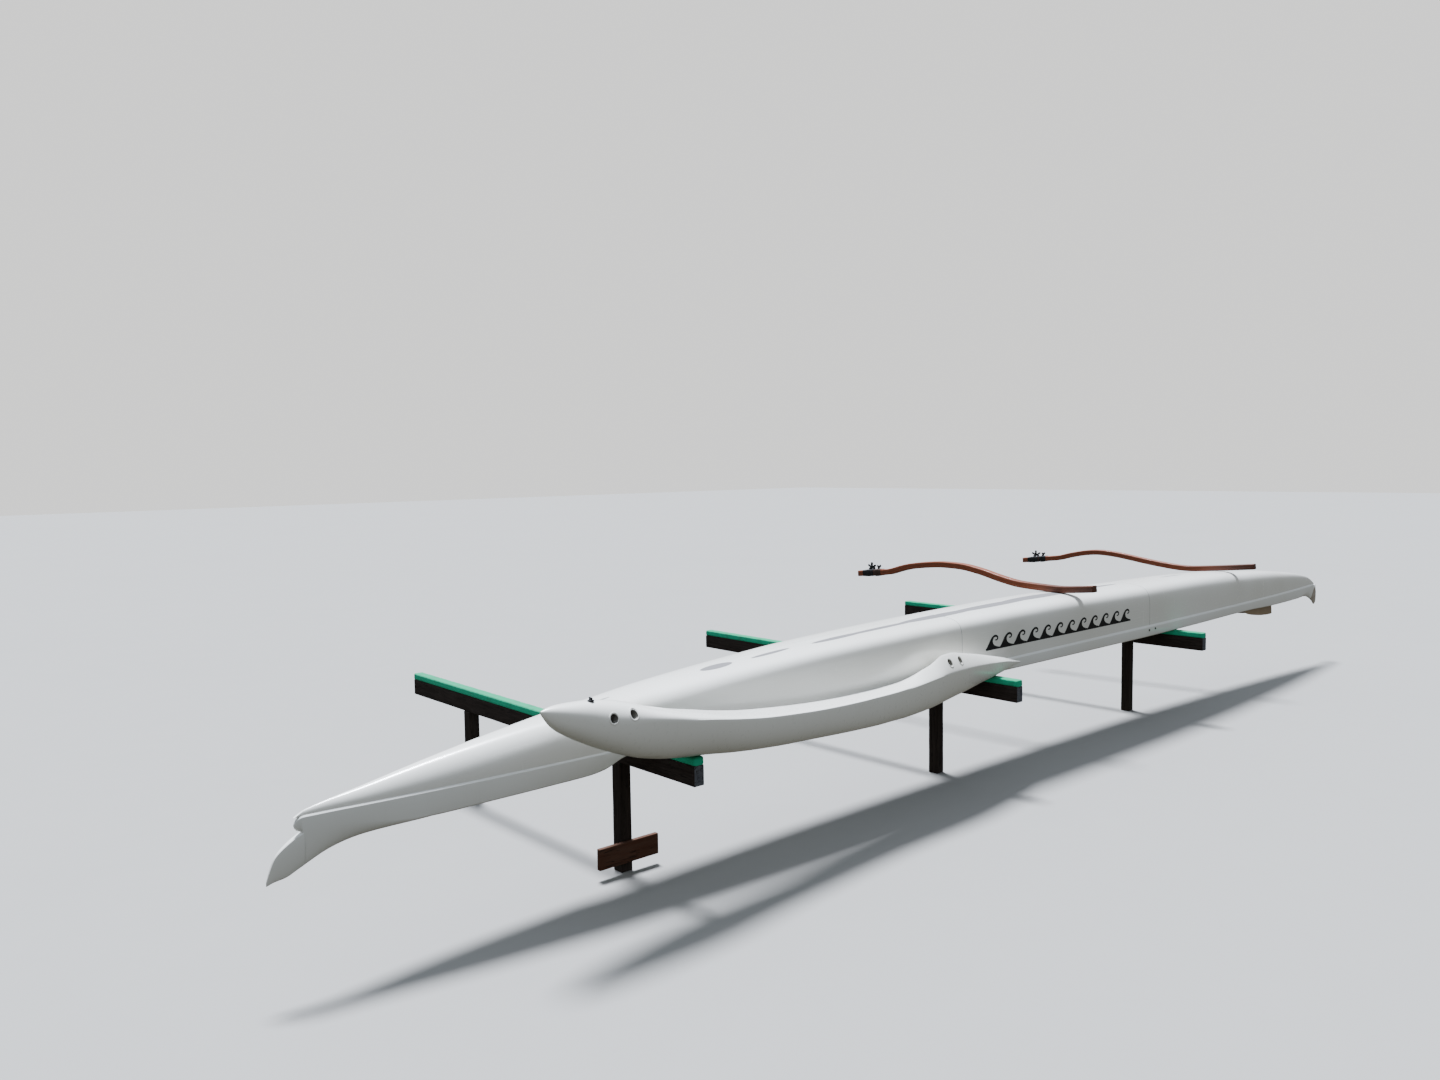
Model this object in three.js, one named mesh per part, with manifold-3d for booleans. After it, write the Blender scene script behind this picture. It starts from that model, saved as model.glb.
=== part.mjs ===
// Four-seat outrigger canoe, stored keel up on its three-trestle timber rack.
// Millimetres. +X runs from stern to bow, +Y away from the float, +Z up.
// x = 0 is the first trestle, y = 0 the hull's centre plane and z = 0 the ground.
// The hull is upside down: its keel line is the top and its gunwale rests on the pads.

import * as THREE from "three";
import Module from "manifold-3d";

const wasm = await Module();
wasm.setup();

// Where the finished group's own origin lies, in the measures used below.
const ORIGIN = { x: 3420, y: 970 };

// General sizes
const GAP = 0.3;
const HULL_WALL = 6;
const DECK_WALL = 8;
const BAND_WALL = 16;
const BAND_PROUD = 8;

// Share of the hull's depth by which its flat bottom is lower at the sides than at the keel.
const CROWN = 0.1;
const SEAM_GAP = 0.6;

// Hull stations: half breadth over the band, sheer (lowest edge as stored), ledge above
// the band, keel (highest line as stored) and fullness of the section (2 is an ellipse).
const HULL_COLUMNS = ["x", "half", "sheer", "ledge", "keel", "full"];
const HULL_ROWS = [
  [-1725, 12, 652, 714, 726, 2.0],
  [-1640, 24, 652, 720, 750, 2.0],
  [-1470, 50, 617, 723, 780, 2.0],
  [-1200, 86, 616, 728, 833, 2.1],
  [-900, 122, 629, 734, 884, 2.4],
  [-600, 150, 642, 740, 926, 3.0],
  [-420, 165, 651, 744, 948, 3.6],
  [-330, 172, 666, 746, 954, 4.0],
  [-250, 176, 700, 749, 962, 4.3],
  [-165, 181, 716, 752, 973, 4.6],
  [0, 190, 716, 756, 991, 5.2],
  [600, 215, 716, 767, 1039, 7.0],
  [1200, 235, 716, 777, 1076, 8.0],
  [2240, 250, 716, 787, 1109, 8.0],
  [3440, 255, 716, 795, 1126, 7.5],
  [4640, 250, 716, 800, 1117, 6.5],
  [5400, 230, 716, 799, 1109, 6.0],
  [6200, 196, 716, 795, 1084, 5.3],
  [6700, 168, 711, 791, 1055, 5.0],
  [7200, 134, 695, 786, 1021, 4.6],
  [7700, 94, 684, 781, 973, 4.2],
  [8070, 62, 680, 778, 929, 3.8],
  [8400, 30, 672, 777, 872, 3.2],
  [8560, 14, 660, 776, 819, 2.5],
  [8610, 9, 655, 776, 790, 2.0],
];

// Where the three hull sections meet, and the decked ends
const SEAM_AFT = 2330;
const SEAM_FORE = 4727;
const STERN_END = -1725;
const BOW_END = 8610;
const COCKPIT = { aft: 900, fore: 6600, rail: 62, round: 260 };

// Tail fin and bow hook: thin fins that hook down as stored
const FIN_COLUMNS = ["x", "half", "low", "high"];
const TAIL_ROWS = [
  [-1840, 4, 465, 482],
  [-1824, 6, 471, 530],
  [-1806, 8, 475, 572],
  [-1766, 12, 481, 609],
  [-1722, 16, 500, 637],
  [-1690, 19, 515, 651],
  [-1600, 28, 555, 668],
  [-1530, 37, 575, 668],
  [-1470, 46, 587, 668],
  [-1330, 60, 603, 664],
  [-1180, 70, 617, 650],
];
const HOOK_ROWS = [
  [8240, 22, 684, 720],
  [8380, 19, 671, 720],
  [8460, 16, 654, 720],
  [8530, 13, 628, 720],
  [8580, 10, 600, 722],
  [8625, 7, 568, 750],
  [8650, 5, 572, 776],
  [8680, 3, 606, 690],
];

// Inside fittings
const SEAT = { xs: [5670, 4420, 3170, 1920], length: 240, drop: 95, thick: 22, web: 14 };
const FRAME = { thick: 22, depth: 42, foot: 62 };
const BULKHEAD = { xs: [870, 6630], thick: 8 };
const SPREADER = { xs: [2470, 2620, 4970, 5110], radius: 19, drop: 44 };

// V-shaped splash guard under the fore deck
const GUARD = { apex: 7570, aft: 6640, wall: 7, high: 112, low: 12 };

// Float as it lies on the first two beams: half breadth, half breadth of the deck's top,
// top, chine and bottom.
const FLOAT_COLUMNS = ["x", "half", "flat", "top", "chine", "bottom"];
const FLOAT_ROWS = [
  [-860, 4, 2, 1074, 1068, 1061],
  [-828, 24, 10, 1085, 1050, 1012],
  [-770, 50, 24, 1088, 1028, 966],
  [-650, 78, 34, 1085, 995, 899],
  [-540, 94, 36, 1072, 974, 848],
  [-450, 104, 40, 1054, 964, 812],
  [-375, 111, 46, 1032, 957, 786],
  [-300, 117, 54, 1004, 949, 766],
  [-190, 124, 62, 974, 934, 744],
  [-90, 128, 68, 947, 917, 731],
  [45, 126, 70, 919, 896, 716.4],
  [200, 116, 70, 887, 870, 694],
  [400, 106, 66, 856, 842, 672],
  [600, 97, 62, 836, 823, 656],
  [800, 90, 58, 820, 808, 645],
  [1000, 82, 52, 809, 798, 633],
  [1200, 75, 46, 802, 791, 623],
  [1400, 71, 40, 801, 789, 617],
  [1600, 71, 36, 812, 795, 617],
  [1700, 72, 34, 833, 799, 620],
  [1800, 73, 32, 864, 804, 626],
  [1890, 73, 30, 888, 810, 633],
  [1990, 71, 28, 918, 816, 646],
  [2090, 68, 28, 922, 819, 660],
  [2200, 62, 26, 906, 822, 672],
  [2400, 48, 20, 870, 818, 699],
  [2545, 37, 13, 843, 812, 717],
  [2700, 23, 8, 812, 798, 740],
  [2810, 11, 4, 788, 780, 757],
  [2880, 3, 1, 772, 769, 763],
];
const FLOAT_AXIS = { aft: -860, fore: 2880, aftY: -455, foreY: -295 };
const FLOAT_HOLES = { radius: 21, near: [-541, -434], nearHeight: 1003, far: [2031, 2140], farHeight: 881 };
const FLOAT_WALL = 5;
const FLOAT_ENDS = { aft: -350, fore: 1945 };
const FLOAT_PLUG = { x: -616, side: 20, lift: 1.6, radius: 15, height: 9, wing: 20 };

// Booms: where each one's hull end lies, how far it runs aft for each unit across, its
// length, and its centre line's height over the contact with the keel, by distance from
// the hull end.
const BOOM_COLUMNS = ["s", "rise"];
const BOOMS = {
  rear: {
    x: 3750,
    y: -330,
    turn: 0,
    length: 2182,
    rows: [
      [0, 23],
      [130, 10],
      [270, 0],
      [440, 5],
      [610, 15],
      [780, 46],
      [960, 89],
      [1150, 116],
      [1300, 119],
      [1440, 109],
      [1640, 82],
      [1750, 54],
      [1850, 25],
      [1960, 13],
      [2070, 3],
      [2182, -10],
    ],
  },
  front: {
    x: 6480,
    y: -295,
    turn: -0.08,
    length: 2206,
    rows: [
      [0, 28],
      [293, 0],
      [470, -14],
      [560, -19],
      [650, -15],
      [740, -5],
      [830, 7],
      [1015, 37],
      [1210, 71],
      [1310, 83],
      [1410, 89],
      [1500, 84],
      [1610, 66],
      [1710, 45],
      [1815, 16],
      [1920, 4],
      [2030, -7],
      [2206, -27],
    ],
  },
};
const BOOM = { width: 60, height: 48, edge: 8 };
const LASHING = { back: 132, end: 8, wall: 8 };

// Rack: each trestle's place along the hull, its near post and the near end of its beam
const TRESTLE_COLUMNS = ["x", "nearY", "beamEnd"];
const TRESTLE_ROWS = [
  [0, 180, -445],
  [2580, 155, -491],
  [5160, 172, -465],
];
const POST = { side: 70, farY: 1760 };
const BEAM = { width: 62, low: 575, high: 675, far: 2490 };
const PAD = { width: 66, high: 715.7, split: 700 };
const FOOT_BOARD = { length: 372, low: 55, high: 165, thick: 25 };

const PAINT = {
  gelcoat: { color: 0xe4e3dc, roughness: 0.32, metalness: 0 },
  deck: { color: 0xdcdcd6, roughness: 0.36, metalness: 0 },
  inside: { color: 0xc9c8c0, roughness: 0.6, metalness: 0 },
  guard: { color: 0x8f7d66, roughness: 0.5, metalness: 0 },
  wood: { color: 0x7a3d22, roughness: 0.4, metalness: 0 },
  timber: { color: 0x32281f, roughness: 0.85, metalness: 0 },
  board: { color: 0x4a2c1c, roughness: 0.85, metalness: 0 },
  pad: { color: 0x0f9c6c, roughness: 0.75, metalness: 0 },
  rubber: { color: 0x17181a, roughness: 0.8, metalness: 0 },
};

// Turns a table of rows into objects with named columns.
function named(columns, rows) {
  return rows.map((row) => Object.fromEntries(columns.map((name, i) => [name, row[i]])));
}

// Smooth curve through a table's column that never overshoots its rows.
function through(table, key, by = "x") {
  const xs = table.map((row) => row[by]);
  const ys = table.map((row) => row[key]);
  const slopes = xs.slice(1).map((x, i) => (ys[i + 1] - ys[i]) / (x - xs[i]));
  const tangents = xs.map((x, i) => {
    if (i === 0) return slopes[0];
    if (i === xs.length - 1) return slopes[slopes.length - 1];
    const before = slopes[i - 1];
    const after = slopes[i];
    return before * after <= 0 ? 0 : (2 * before * after) / (before + after);
  });
  return (x) => {
    let i = 0;
    while (i < xs.length - 2 && x > xs[i + 1]) i += 1;
    const step = xs[i + 1] - xs[i];
    const t = Math.min(1, Math.max(0, (x - xs[i]) / step));
    const t2 = t * t;
    const t3 = t2 * t;
    return (
      (2 * t3 - 3 * t2 + 1) * ys[i] +
      (t3 - 2 * t2 + t) * step * tangents[i] +
      (3 * t2 - 2 * t3) * ys[i + 1] +
      (t3 - t2) * step * tangents[i + 1]
    );
  };
}

const hullTable = named(HULL_COLUMNS, HULL_ROWS);
const hull = Object.fromEntries(HULL_COLUMNS.slice(1).map((key) => [key, through(hullTable, key)]));

// Builds a solid from points and triangles, turned to face out.
function solid(points, faces) {
  let volume = 0;
  for (const [a, b, c] of faces) {
    const p = points[a];
    const q = points[b];
    const r = points[c];
    volume +=
      p[0] * (q[1] * r[2] - q[2] * r[1]) -
      p[1] * (q[0] * r[2] - q[2] * r[0]) +
      p[2] * (q[0] * r[1] - q[1] * r[0]);
  }
  const turned = volume < 0 ? faces.map(([a, b, c]) => [a, c, b]) : faces;
  return new wasm.Manifold(
    new wasm.Mesh({
      numProp: 3,
      vertProperties: new Float32Array(points.flat()),
      triVerts: new Uint32Array(turned.flat()),
    })
  );
}

// Skins a row of closed rings with equal counts and closes both ends.
function loft(rings) {
  const count = rings[0].length;
  const points = rings.flat();
  const faces = [];
  for (let r = 0; r < rings.length - 1; r += 1) {
    for (let i = 0; i < count; i += 1) {
      const j = (i + 1) % count;
      const a = r * count + i;
      const b = r * count + j;
      faces.push([a, b, b + count], [a, b + count, a + count]);
    }
  }
  for (const [ring, start] of [
    [rings[0], 0],
    [rings[rings.length - 1], (rings.length - 1) * count],
  ]) {
    const middle = [0, 1, 2].map((k) => ring.reduce((sum, p) => sum + p[k], 0) / count);
    const hub = points.push(middle) - 1;
    for (let i = 0; i < count; i += 1) {
      const j = (i + 1) % count;
      faces.push(start === 0 ? [hub, start + j, start + i] : [hub, start + i, start + j]);
    }
  }
  return solid(points, faces);
}

// Extrusion along Y of a closed profile of [x, z] points that runs anticlockwise.
function prism(profile, y0, y1) {
  const flat = profile.map(([x, z]) => new THREE.Vector2(x, z));
  const count = profile.length;
  const points = [...profile.map(([x, z]) => [x, y0, z]), ...profile.map(([x, z]) => [x, y1, z])];
  const faces = [];
  for (const [a, b, c] of THREE.ShapeUtils.triangulateShape(flat, [])) {
    faces.push([a, b, c], [count + a, count + c, count + b]);
  }
  for (let i = 0; i < count; i += 1) {
    const j = (i + 1) % count;
    faces.push([i, count + j, j], [i, count + i, count + j]);
  }
  return solid(points, faces);
}

function box(x0, x1, y0, y1, z0, z1) {
  return prism(
    [
      [x0, z0],
      [x1, z0],
      [x1, z1],
      [x0, z1],
    ],
    y0,
    y1
  );
}

// Round bar along Y.
function bar(x, z, radius, y0, y1, sides = 20) {
  const profile = [];
  for (let i = 0; i < sides; i += 1) {
    const a = (2 * Math.PI * i) / sides;
    profile.push([x + radius * Math.cos(a), z + radius * Math.sin(a)]);
  }
  return prism(profile, y0, y1);
}

// Distances along X that a loft between two ends is cut at.
function stations(from, to, extra = []) {
  const marks = [
    -1725, -1640, -1550, -1470, -1330, -1200, -1050, -900, -750, -600, -420, -330, -250, -165, 0, 300, 600,
    900, 1200, 1550, 1900, 2240, 2640, 3040, 3440, 3840, 4240, 4640, 5020, 5400, 5800, 6200, 6450, 6700,
    6950, 7200, 7450, 7700, 7890, 8070, 8240, 8400, 8490, 8560, 8610,
  ];
  const inside = [...marks, ...extra].filter((x) => x > from + 25 && x < to - 25);
  return [...new Set([from, ...inside, to])].sort((a, b) => a - b);
}

// Arc of the hull's section from the near ledge over the keel to the far ledge.
function sectionArc(x, inset, sides) {
  const half = Math.max(hull.half(x) - BAND_PROUD - inset, 0.3 * hull.half(x));
  const rise = Math.max(hull.keel(x) - inset - hull.ledge(x), 0.3 * (hull.keel(x) - hull.ledge(x)));
  const power = 2 / hull.full(x);
  const arc = [];
  for (let i = 0; i <= sides; i += 1) {
    const a = (Math.PI * i) / sides;
    const y = -Math.sign(Math.cos(a)) * Math.abs(Math.cos(a)) ** power * half;
    const z = Math.abs(Math.sin(a)) ** power * rise * (1 - CROWN * (y / half) ** 2);
    arc.push([x, i === sides / 2 ? 0 : y, hull.ledge(x) + (i === 0 || i === sides ? 0 : z)]);
  }
  return arc;
}

// Open shell of one hull section, from the ledge up over the keel.
function hullShell(from, to) {
  const sides = 20;
  const rings = stations(from, to).map((x) => {
    const outer = sectionArc(x, 0, sides);
    const inner = sectionArc(x, HULL_WALL, sides).reverse();
    const lift = ([px, y, z]) => [px, y, z + GAP];
    return { outer: outer.map(lift), inner: inner.map(lift) };
  });
  const count = 2 * (sides + 1);
  const points = rings.flatMap(({ outer, inner }) => [...outer, ...inner]);
  const faces = [];
  for (let r = 0; r < rings.length - 1; r += 1) {
    for (let i = 0; i < count; i += 1) {
      const j = (i + 1) % count;
      const a = r * count + i;
      const b = r * count + j;
      faces.push([a, b, b + count], [a, b + count, a + count]);
    }
  }
  for (const start of [0, (rings.length - 1) * count]) {
    for (let i = 0; i < sides; i += 1) {
      const o = start + i;
      const n = start + count - 1 - i;
      const quad = [
        [o, n, n - 1],
        [o, n - 1, o + 1],
      ];
      faces.push(...(start === 0 ? quad : quad.map(([a, b, c]) => [a, c, b])));
    }
  }
  return solid(points, faces);
}

// Room inside the hull and its band, with everything set in by the inset.
function room(from, to, inset) {
  const sides = 20;
  return loft(
    stations(from, to).map((x) => {
      const arc = sectionArc(x, HULL_WALL + inset, sides);
      const wall = hull.half(x) - BAND_WALL - inset;
      const floor = hull.sheer(x) + DECK_WALL + inset;
      const kept = arc.map(([px, y, z]) => [px, THREE.MathUtils.clamp(y, -wall, wall), z]);
      return [[x, -wall, floor], ...kept, [x, wall, floor]];
    })
  );
}

// Band and deck of one section as a channel open towards the keel.
function deckChannel(from, to) {
  const corner = 11;
  const outside = loft(
    stations(from, to).map((x) => {
      const half = hull.half(x);
      const cut = Math.min(corner, 0.35 * half);
      const low = hull.sheer(x);
      const high = hull.ledge(x);
      return [
        [x, -half, high],
        [x, -half, low + cut],
        [x, -half + 0.3 * cut, low + 0.3 * cut],
        [x, -half + cut, low],
        [x, half - cut, low],
        [x, half - 0.3 * cut, low + 0.3 * cut],
        [x, half, low + cut],
        [x, half, high],
      ];
    })
  );
  const start = Math.max(from - 10, -1200);
  const end = Math.min(to + 10, 8070);
  const inside = loft(
    stations(start, end).map((x) => {
      const half = hull.half(x) - BAND_WALL;
      return [
        [x, -half, hull.ledge(x) + 20],
        [x, -half, hull.sheer(x) + DECK_WALL],
        [x, half, hull.sheer(x) + DECK_WALL],
        [x, half, hull.ledge(x) + 20],
      ];
    })
  );
  return outside.subtract(inside);
}

// Plug that opens the cockpit through the deck plate.
function cockpitCutter() {
  const xs = [0, 12, 45, 100, 170, 260].flatMap((d) => [COCKPIT.aft + d, COCKPIT.fore - d]);
  const all = stations(COCKPIT.aft, COCKPIT.fore, xs.slice(2));
  return loft(
    all.map((x) => {
      const fromEnd = Math.min(x - COCKPIT.aft, COCKPIT.fore - x);
      const t = Math.min(1, fromEnd / COCKPIT.round);
      const share = Math.max(0.08, Math.sqrt(1 - (1 - t) ** 2));
      const half = share * (hull.half(x) - BAND_WALL - COCKPIT.rail);
      const low = hull.sheer(x) - 40;
      const high = hull.sheer(x) + DECK_WALL + 4;
      return [
        [x, -half, low],
        [x, half, low],
        [x, half, high],
        [x, -half, high],
      ];
    })
  );
}

function fin(rows) {
  return loft(
    named(FIN_COLUMNS, rows).map(({ x, half, low, high }) => [
      [x, -0.45 * half, low],
      [x, 0.45 * half, low],
      [x, half, low + 0.35 * (high - low)],
      [x, half, high],
      [x, -half, high],
      [x, -half, low + 0.35 * (high - low)],
    ])
  );
}

// Float's axis runs slightly out of line with the hull.
function floatAxis(x) {
  const { aft, fore, aftY, foreY } = FLOAT_AXIS;
  return THREE.MathUtils.lerp(aftY, foreY, (x - aft) / (fore - aft));
}

// Section of the float's deck, smaller by the inset and open below when it is inset.
function floatDeckRing({ x, half, flat, top, chine }, inset) {
  const y0 = floatAxis(x);
  const low = inset > 0 ? chine - 5 : chine + GAP;
  const wide = half - inset;
  const ridge = flat - 0.5 * inset;
  const high = top - inset;
  const mid = { y: wide + 0.28 * (ridge - wide), z: low + 0.55 * (high - low) };
  return [
    [x, y0 - wide, low],
    [x, y0 + wide, low],
    [x, y0 + mid.y, mid.z],
    [x, y0 + ridge, high - 0.06 * (high - low)],
    [x, y0, high],
    [x, y0 - ridge, high - 0.06 * (high - low)],
    [x, y0 - mid.y, mid.z],
  ];
}

// Section of the float's hull, smaller by the inset and open above when it is inset.
function floatHullRing({ x, half, chine, bottom }, inset) {
  const y0 = floatAxis(x);
  const sides = 14;
  const ring = [];
  for (let i = 0; i <= sides; i += 1) {
    const a = (Math.PI * i) / sides;
    const c = Math.cos(a);
    const y = Math.sign(c) * Math.abs(c) ** 0.86 * (half - inset);
    const z = chine - Math.sin(a) ** 0.86 * (chine - bottom - inset);
    ring.push([x, y0 + (i === sides / 2 ? 0 : y), z]);
  }
  if (inset > 0) ring.push([x, y0 - half + inset, chine + 5], [x, y0 + half - inset, chine + 5]);
  return ring;
}

const floatTable = named(FLOAT_COLUMNS, FLOAT_ROWS);
const float = Object.fromEntries(FLOAT_COLUMNS.slice(1).map((key) => [key, through(floatTable, key)]));

// Rows of the float's table between two places, with a row at each of them.
function floatRows(from, to) {
  const at = (x) => ({ x, ...Object.fromEntries(Object.entries(float).map(([key, of]) => [key, of(x)])) });
  const ends = floatTable[0].x;
  const first = from > ends ? [at(from)] : [];
  const last = to < floatTable[floatTable.length - 1].x ? [at(to)] : [];
  return [...first, ...floatTable.filter(({ x }) => x > from + 5 && x < to - 5), ...last];
}

// The float's hull as a shell, hollow wherever it is wide enough.
function floatHull() {
  const wide = floatTable.filter(({ half, top, chine }) => half > 30 && top - chine > FLOAT_WALL + 3);
  const outside = loft(floatTable.map((row) => floatHullRing(row, 0)));
  return outside.subtract(loft(wide.map((row) => floatHullRing(row, FLOAT_WALL))));
}

// The deck between the two raised ends, a thin lid that is open at both its ends.
function floatLid() {
  const { aft, fore } = FLOAT_ENDS;
  const outside = loft(floatRows(aft + GAP, fore - GAP).map((row) => floatDeckRing(row, 0)));
  return outside.subtract(loft(floatRows(aft - 10, fore + 10).map((row) => floatDeckRing(row, FLOAT_WALL))));
}

// A raised end of the deck, solid, with the two holes that its lashing goes through.
function floatEnd(from, to, holes, height) {
  return holes.reduce(
    (body, x) => body.subtract(bar(x, height, FLOAT_HOLES.radius, floatAxis(x) - 150, floatAxis(x) + 150)),
    loft(floatRows(from, to).map((row) => floatDeckRing(row, 0)))
  );
}

// Highest point of the hull's outside over a place in plan.
function hullTop(x, y) {
  const half = hull.half(x) - BAND_PROUD;
  const share = Math.min(1, Math.abs(y) / half);
  const power = hull.full(x);
  const rise = (hull.keel(x) - hull.ledge(x)) * (1 - CROWN * share ** 2);
  return hull.ledge(x) + GAP + rise * (1 - share ** power) ** (1 / power);
}

// One boom's centre line as a function of the distance from its hull end.
function boomLine({ x, y, turn, rows }) {
  const rise = through(named(BOOM_COLUMNS, rows), "rise", "s");
  const size = Math.hypot(turn, 1);
  const along = [turn / size, 1 / size];
  return (s) => ({
    along,
    x: x + along[0] * s,
    y: y + along[1] * s,
    rise: rise(s),
    slope: Math.atan2(rise(s + 4) - rise(s - 4), 8),
  });
}

// Height of a boom's contact line such that its underside just clears the hull.
function boomHeight(line) {
  let height = 0;
  for (let s = 100; s <= 560; s += 10) {
    const { along, x, y, rise } = line(s);
    for (const a of [-BOOM.width / 2, 0, BOOM.width / 2]) {
      const top = hullTop(x + along[1] * a, y - along[0] * a);
      height = Math.max(height, top - rise + BOOM.height / 2);
    }
  }
  return height + 2 * GAP;
}

// Bar swept along a boom's centre line between two distances from its hull end.
function boomSweep(line, height, from, to, grow, steps) {
  const rings = [];
  const w = BOOM.width / 2 + grow;
  const h = BOOM.height / 2 + grow;
  const e = BOOM.edge;
  for (let i = 0; i <= steps; i += 1) {
    const { along, x, y, rise, slope } = line(from + ((to - from) * i) / steps);
    const place = (a, b) => [
      x + along[1] * a - along[0] * b * Math.sin(slope),
      y - along[0] * a - along[1] * b * Math.sin(slope),
      height + rise + b * Math.cos(slope),
    ];
    rings.push([
      place(-w + e, -h),
      place(w - e, -h),
      place(w, -h + e),
      place(w, h - e),
      place(w - e, h),
      place(-w + e, h),
      place(-w, h - e),
      place(-w, -h + e),
    ]);
  }
  return loft(rings);
}

const root = new THREE.Group();
root.name = "outrigger_canoe";

// Adds one named mesh in one material.
function add(name, body, paint) {
  const mesh = body.getMesh();
  const geometry = new THREE.BufferGeometry();
  geometry.setAttribute("position", new THREE.BufferAttribute(new Float32Array(mesh.vertProperties), 3));
  geometry.setIndex(new THREE.BufferAttribute(new Uint32Array(mesh.triVerts), 1));
  geometry.computeVertexNormals();
  const piece = new THREE.Mesh(geometry, new THREE.MeshStandardMaterial(PAINT[paint]));
  piece.name = name;
  root.add(piece);
  return piece;
}

// Hull sections
const halfSeam = SEAM_GAP / 2;
add("hull_stern", hullShell(STERN_END, SEAM_AFT - halfSeam), "gelcoat");
add("hull_middle", hullShell(SEAM_AFT + halfSeam, SEAM_FORE - halfSeam), "gelcoat");
add("hull_bow", hullShell(SEAM_FORE + halfSeam, BOW_END), "gelcoat");

// Decks, gunwale rails and fins
const cutter = cockpitCutter();
const sternDeck = deckChannel(STERN_END, SEAM_AFT - halfSeam).add(fin(TAIL_ROWS));
add("deck_stern", sternDeck.subtract(cutter), "deck");
const rails = deckChannel(SEAM_AFT + halfSeam, SEAM_FORE - halfSeam).subtract(cutter);
add("gunwale_port", rails.intersect(box(SEAM_AFT, SEAM_FORE, -400, 0, 500, 1000)), "deck");
add("gunwale_starboard", rails.intersect(box(SEAM_AFT, SEAM_FORE, 0, 400, 500, 1000)), "deck");
const bowDeck = deckChannel(SEAM_FORE + halfSeam, BOW_END).add(fin(HOOK_ROWS));
add("deck_bow", bowDeck.subtract(cutter), "deck");

// Seats: a bench across the hull with a web up to the bottom
SEAT.xs.forEach((x, i) => {
  const low = hull.sheer(x) + SEAT.drop;
  const high = low + SEAT.thick;
  const edge = SEAT.length / 2;
  const round = 6;
  const web = SEAT.web / 2;
  const profile = [
    [x - edge + round, low],
    [x + edge - round, low],
    [x + edge, low + round],
    [x + edge, high - round],
    [x + edge - round, high],
    [x + web, high],
    [x + web, 1300],
    [x - web, 1300],
    [x - web, high],
    [x - edge + round, high],
    [x - edge, high - round],
    [x - edge, low + round],
  ];
  add(`seat_${i + 1}`, prism(profile, -400, 400).intersect(room(x - 300, x + 300, 0.4)), "inside");
});

// Bolted frames at the two seams
function jointFrame(x0, x1, boltX0, boltX1) {
  const frame = room(x0 - 60, x1 + 60, 0.4)
    .subtract(room(x0 - 61, x1 + 61, FRAME.depth))
    .intersect(box(x0, x1, -400, 400, 500, 1300));
  const free = hull.half(x0) - FRAME.foot;
  return frame.subtract(box(x0 - 1, x1 + 1, -free, free, 500, 780));
}
for (const [name, seam] of [
  ["aft", SEAM_AFT],
  ["fore", SEAM_FORE],
]) {
  add(`joint_frame_${name}_a`, jointFrame(seam - FRAME.thick, seam - halfSeam), "inside");
  add(`joint_frame_${name}_b`, jointFrame(seam + halfSeam, seam + FRAME.thick), "inside");
}

// Bulkheads that close the decked ends
BULKHEAD.xs.forEach((x, i) => {
  const slab = box(x - BULKHEAD.thick / 2, x + BULKHEAD.thick / 2, -400, 400, 500, 1300);
  add(`bulkhead_${["stern", "bow"][i]}`, room(x - 200, x + 200, 0.4).intersect(slab), "inside");
});

// Spreader bars that the booms are lashed to in use
SPREADER.xs.forEach((x, i) => {
  const narrow = Math.min(hull.half(x - SPREADER.radius), hull.half(x + SPREADER.radius));
  const side = narrow - BAND_WALL - 1;
  const z = hull.sheer(x) + SPREADER.drop;
  add(`spreader_${i + 1}`, bar(x, z, SPREADER.radius, -side, side), "wood");
});

// Splash guard
function splashGuard() {
  const steps = 8;
  const outer = [];
  const inner = [];
  for (let i = -steps; i <= steps; i += 1) {
    const t = Math.abs(i) / steps;
    const x = GUARD.apex - (GUARD.apex - GUARD.aft) * t ** 1.6;
    const y = Math.sign(i) * t * (hull.half(GUARD.aft) - 18);
    outer.push({ x, y, depth: THREE.MathUtils.lerp(GUARD.high, GUARD.low, t ** 1.2) });
    inner.push({ x: x - GUARD.wall * (1.2 + t), y, depth: 0 });
  }
  const rings = outer.map(({ x, y, depth }, i) => {
    const top = hull.sheer(x) - GAP - 0.6;
    const back = inner[i].x;
    return [
      [x, y, top],
      [x + 0.12 * depth, y, top - depth],
      [back + 0.12 * depth, y, top - depth],
      [back, y, top],
    ];
  });
  return loft(rings);
}
add("splash_guard", splashGuard(), "guard");

// Float: a hull shell, a thin lid and two raised ends that carry the lashing holes
add("float_hull", floatHull(), "gelcoat");
add("float_deck", floatLid(), "gelcoat");
const { near, far, nearHeight, farHeight } = FLOAT_HOLES;
add("float_end_aft", floatEnd(FLOAT_ROWS[0][0], FLOAT_ENDS.aft, near, nearHeight), "gelcoat");
add("float_end_fore", floatEnd(FLOAT_ENDS.fore, FLOAT_AXIS.fore, far, farHeight), "gelcoat");

function plug() {
  const { x, side, lift, radius, height, wing } = FLOAT_PLUG;
  const z = float.top(x) + lift;
  const y0 = floatAxis(x) - side;
  const ring = (r, h) =>
    Array.from({ length: 16 }, (unused, i) => {
      const a = (Math.PI * i) / 8;
      return [x + r * Math.cos(a), y0 + r * Math.sin(a), z + h];
    });
  const cap = loft([ring(radius, 0), ring(radius, 4), ring(0.55 * radius, height)]);
  return cap.add(box(x - 4, x + 4, y0 - wing / 2, y0 + wing / 2, z + 2, z + 17));
}
add("float_plug", plug(), "rubber");

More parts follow.
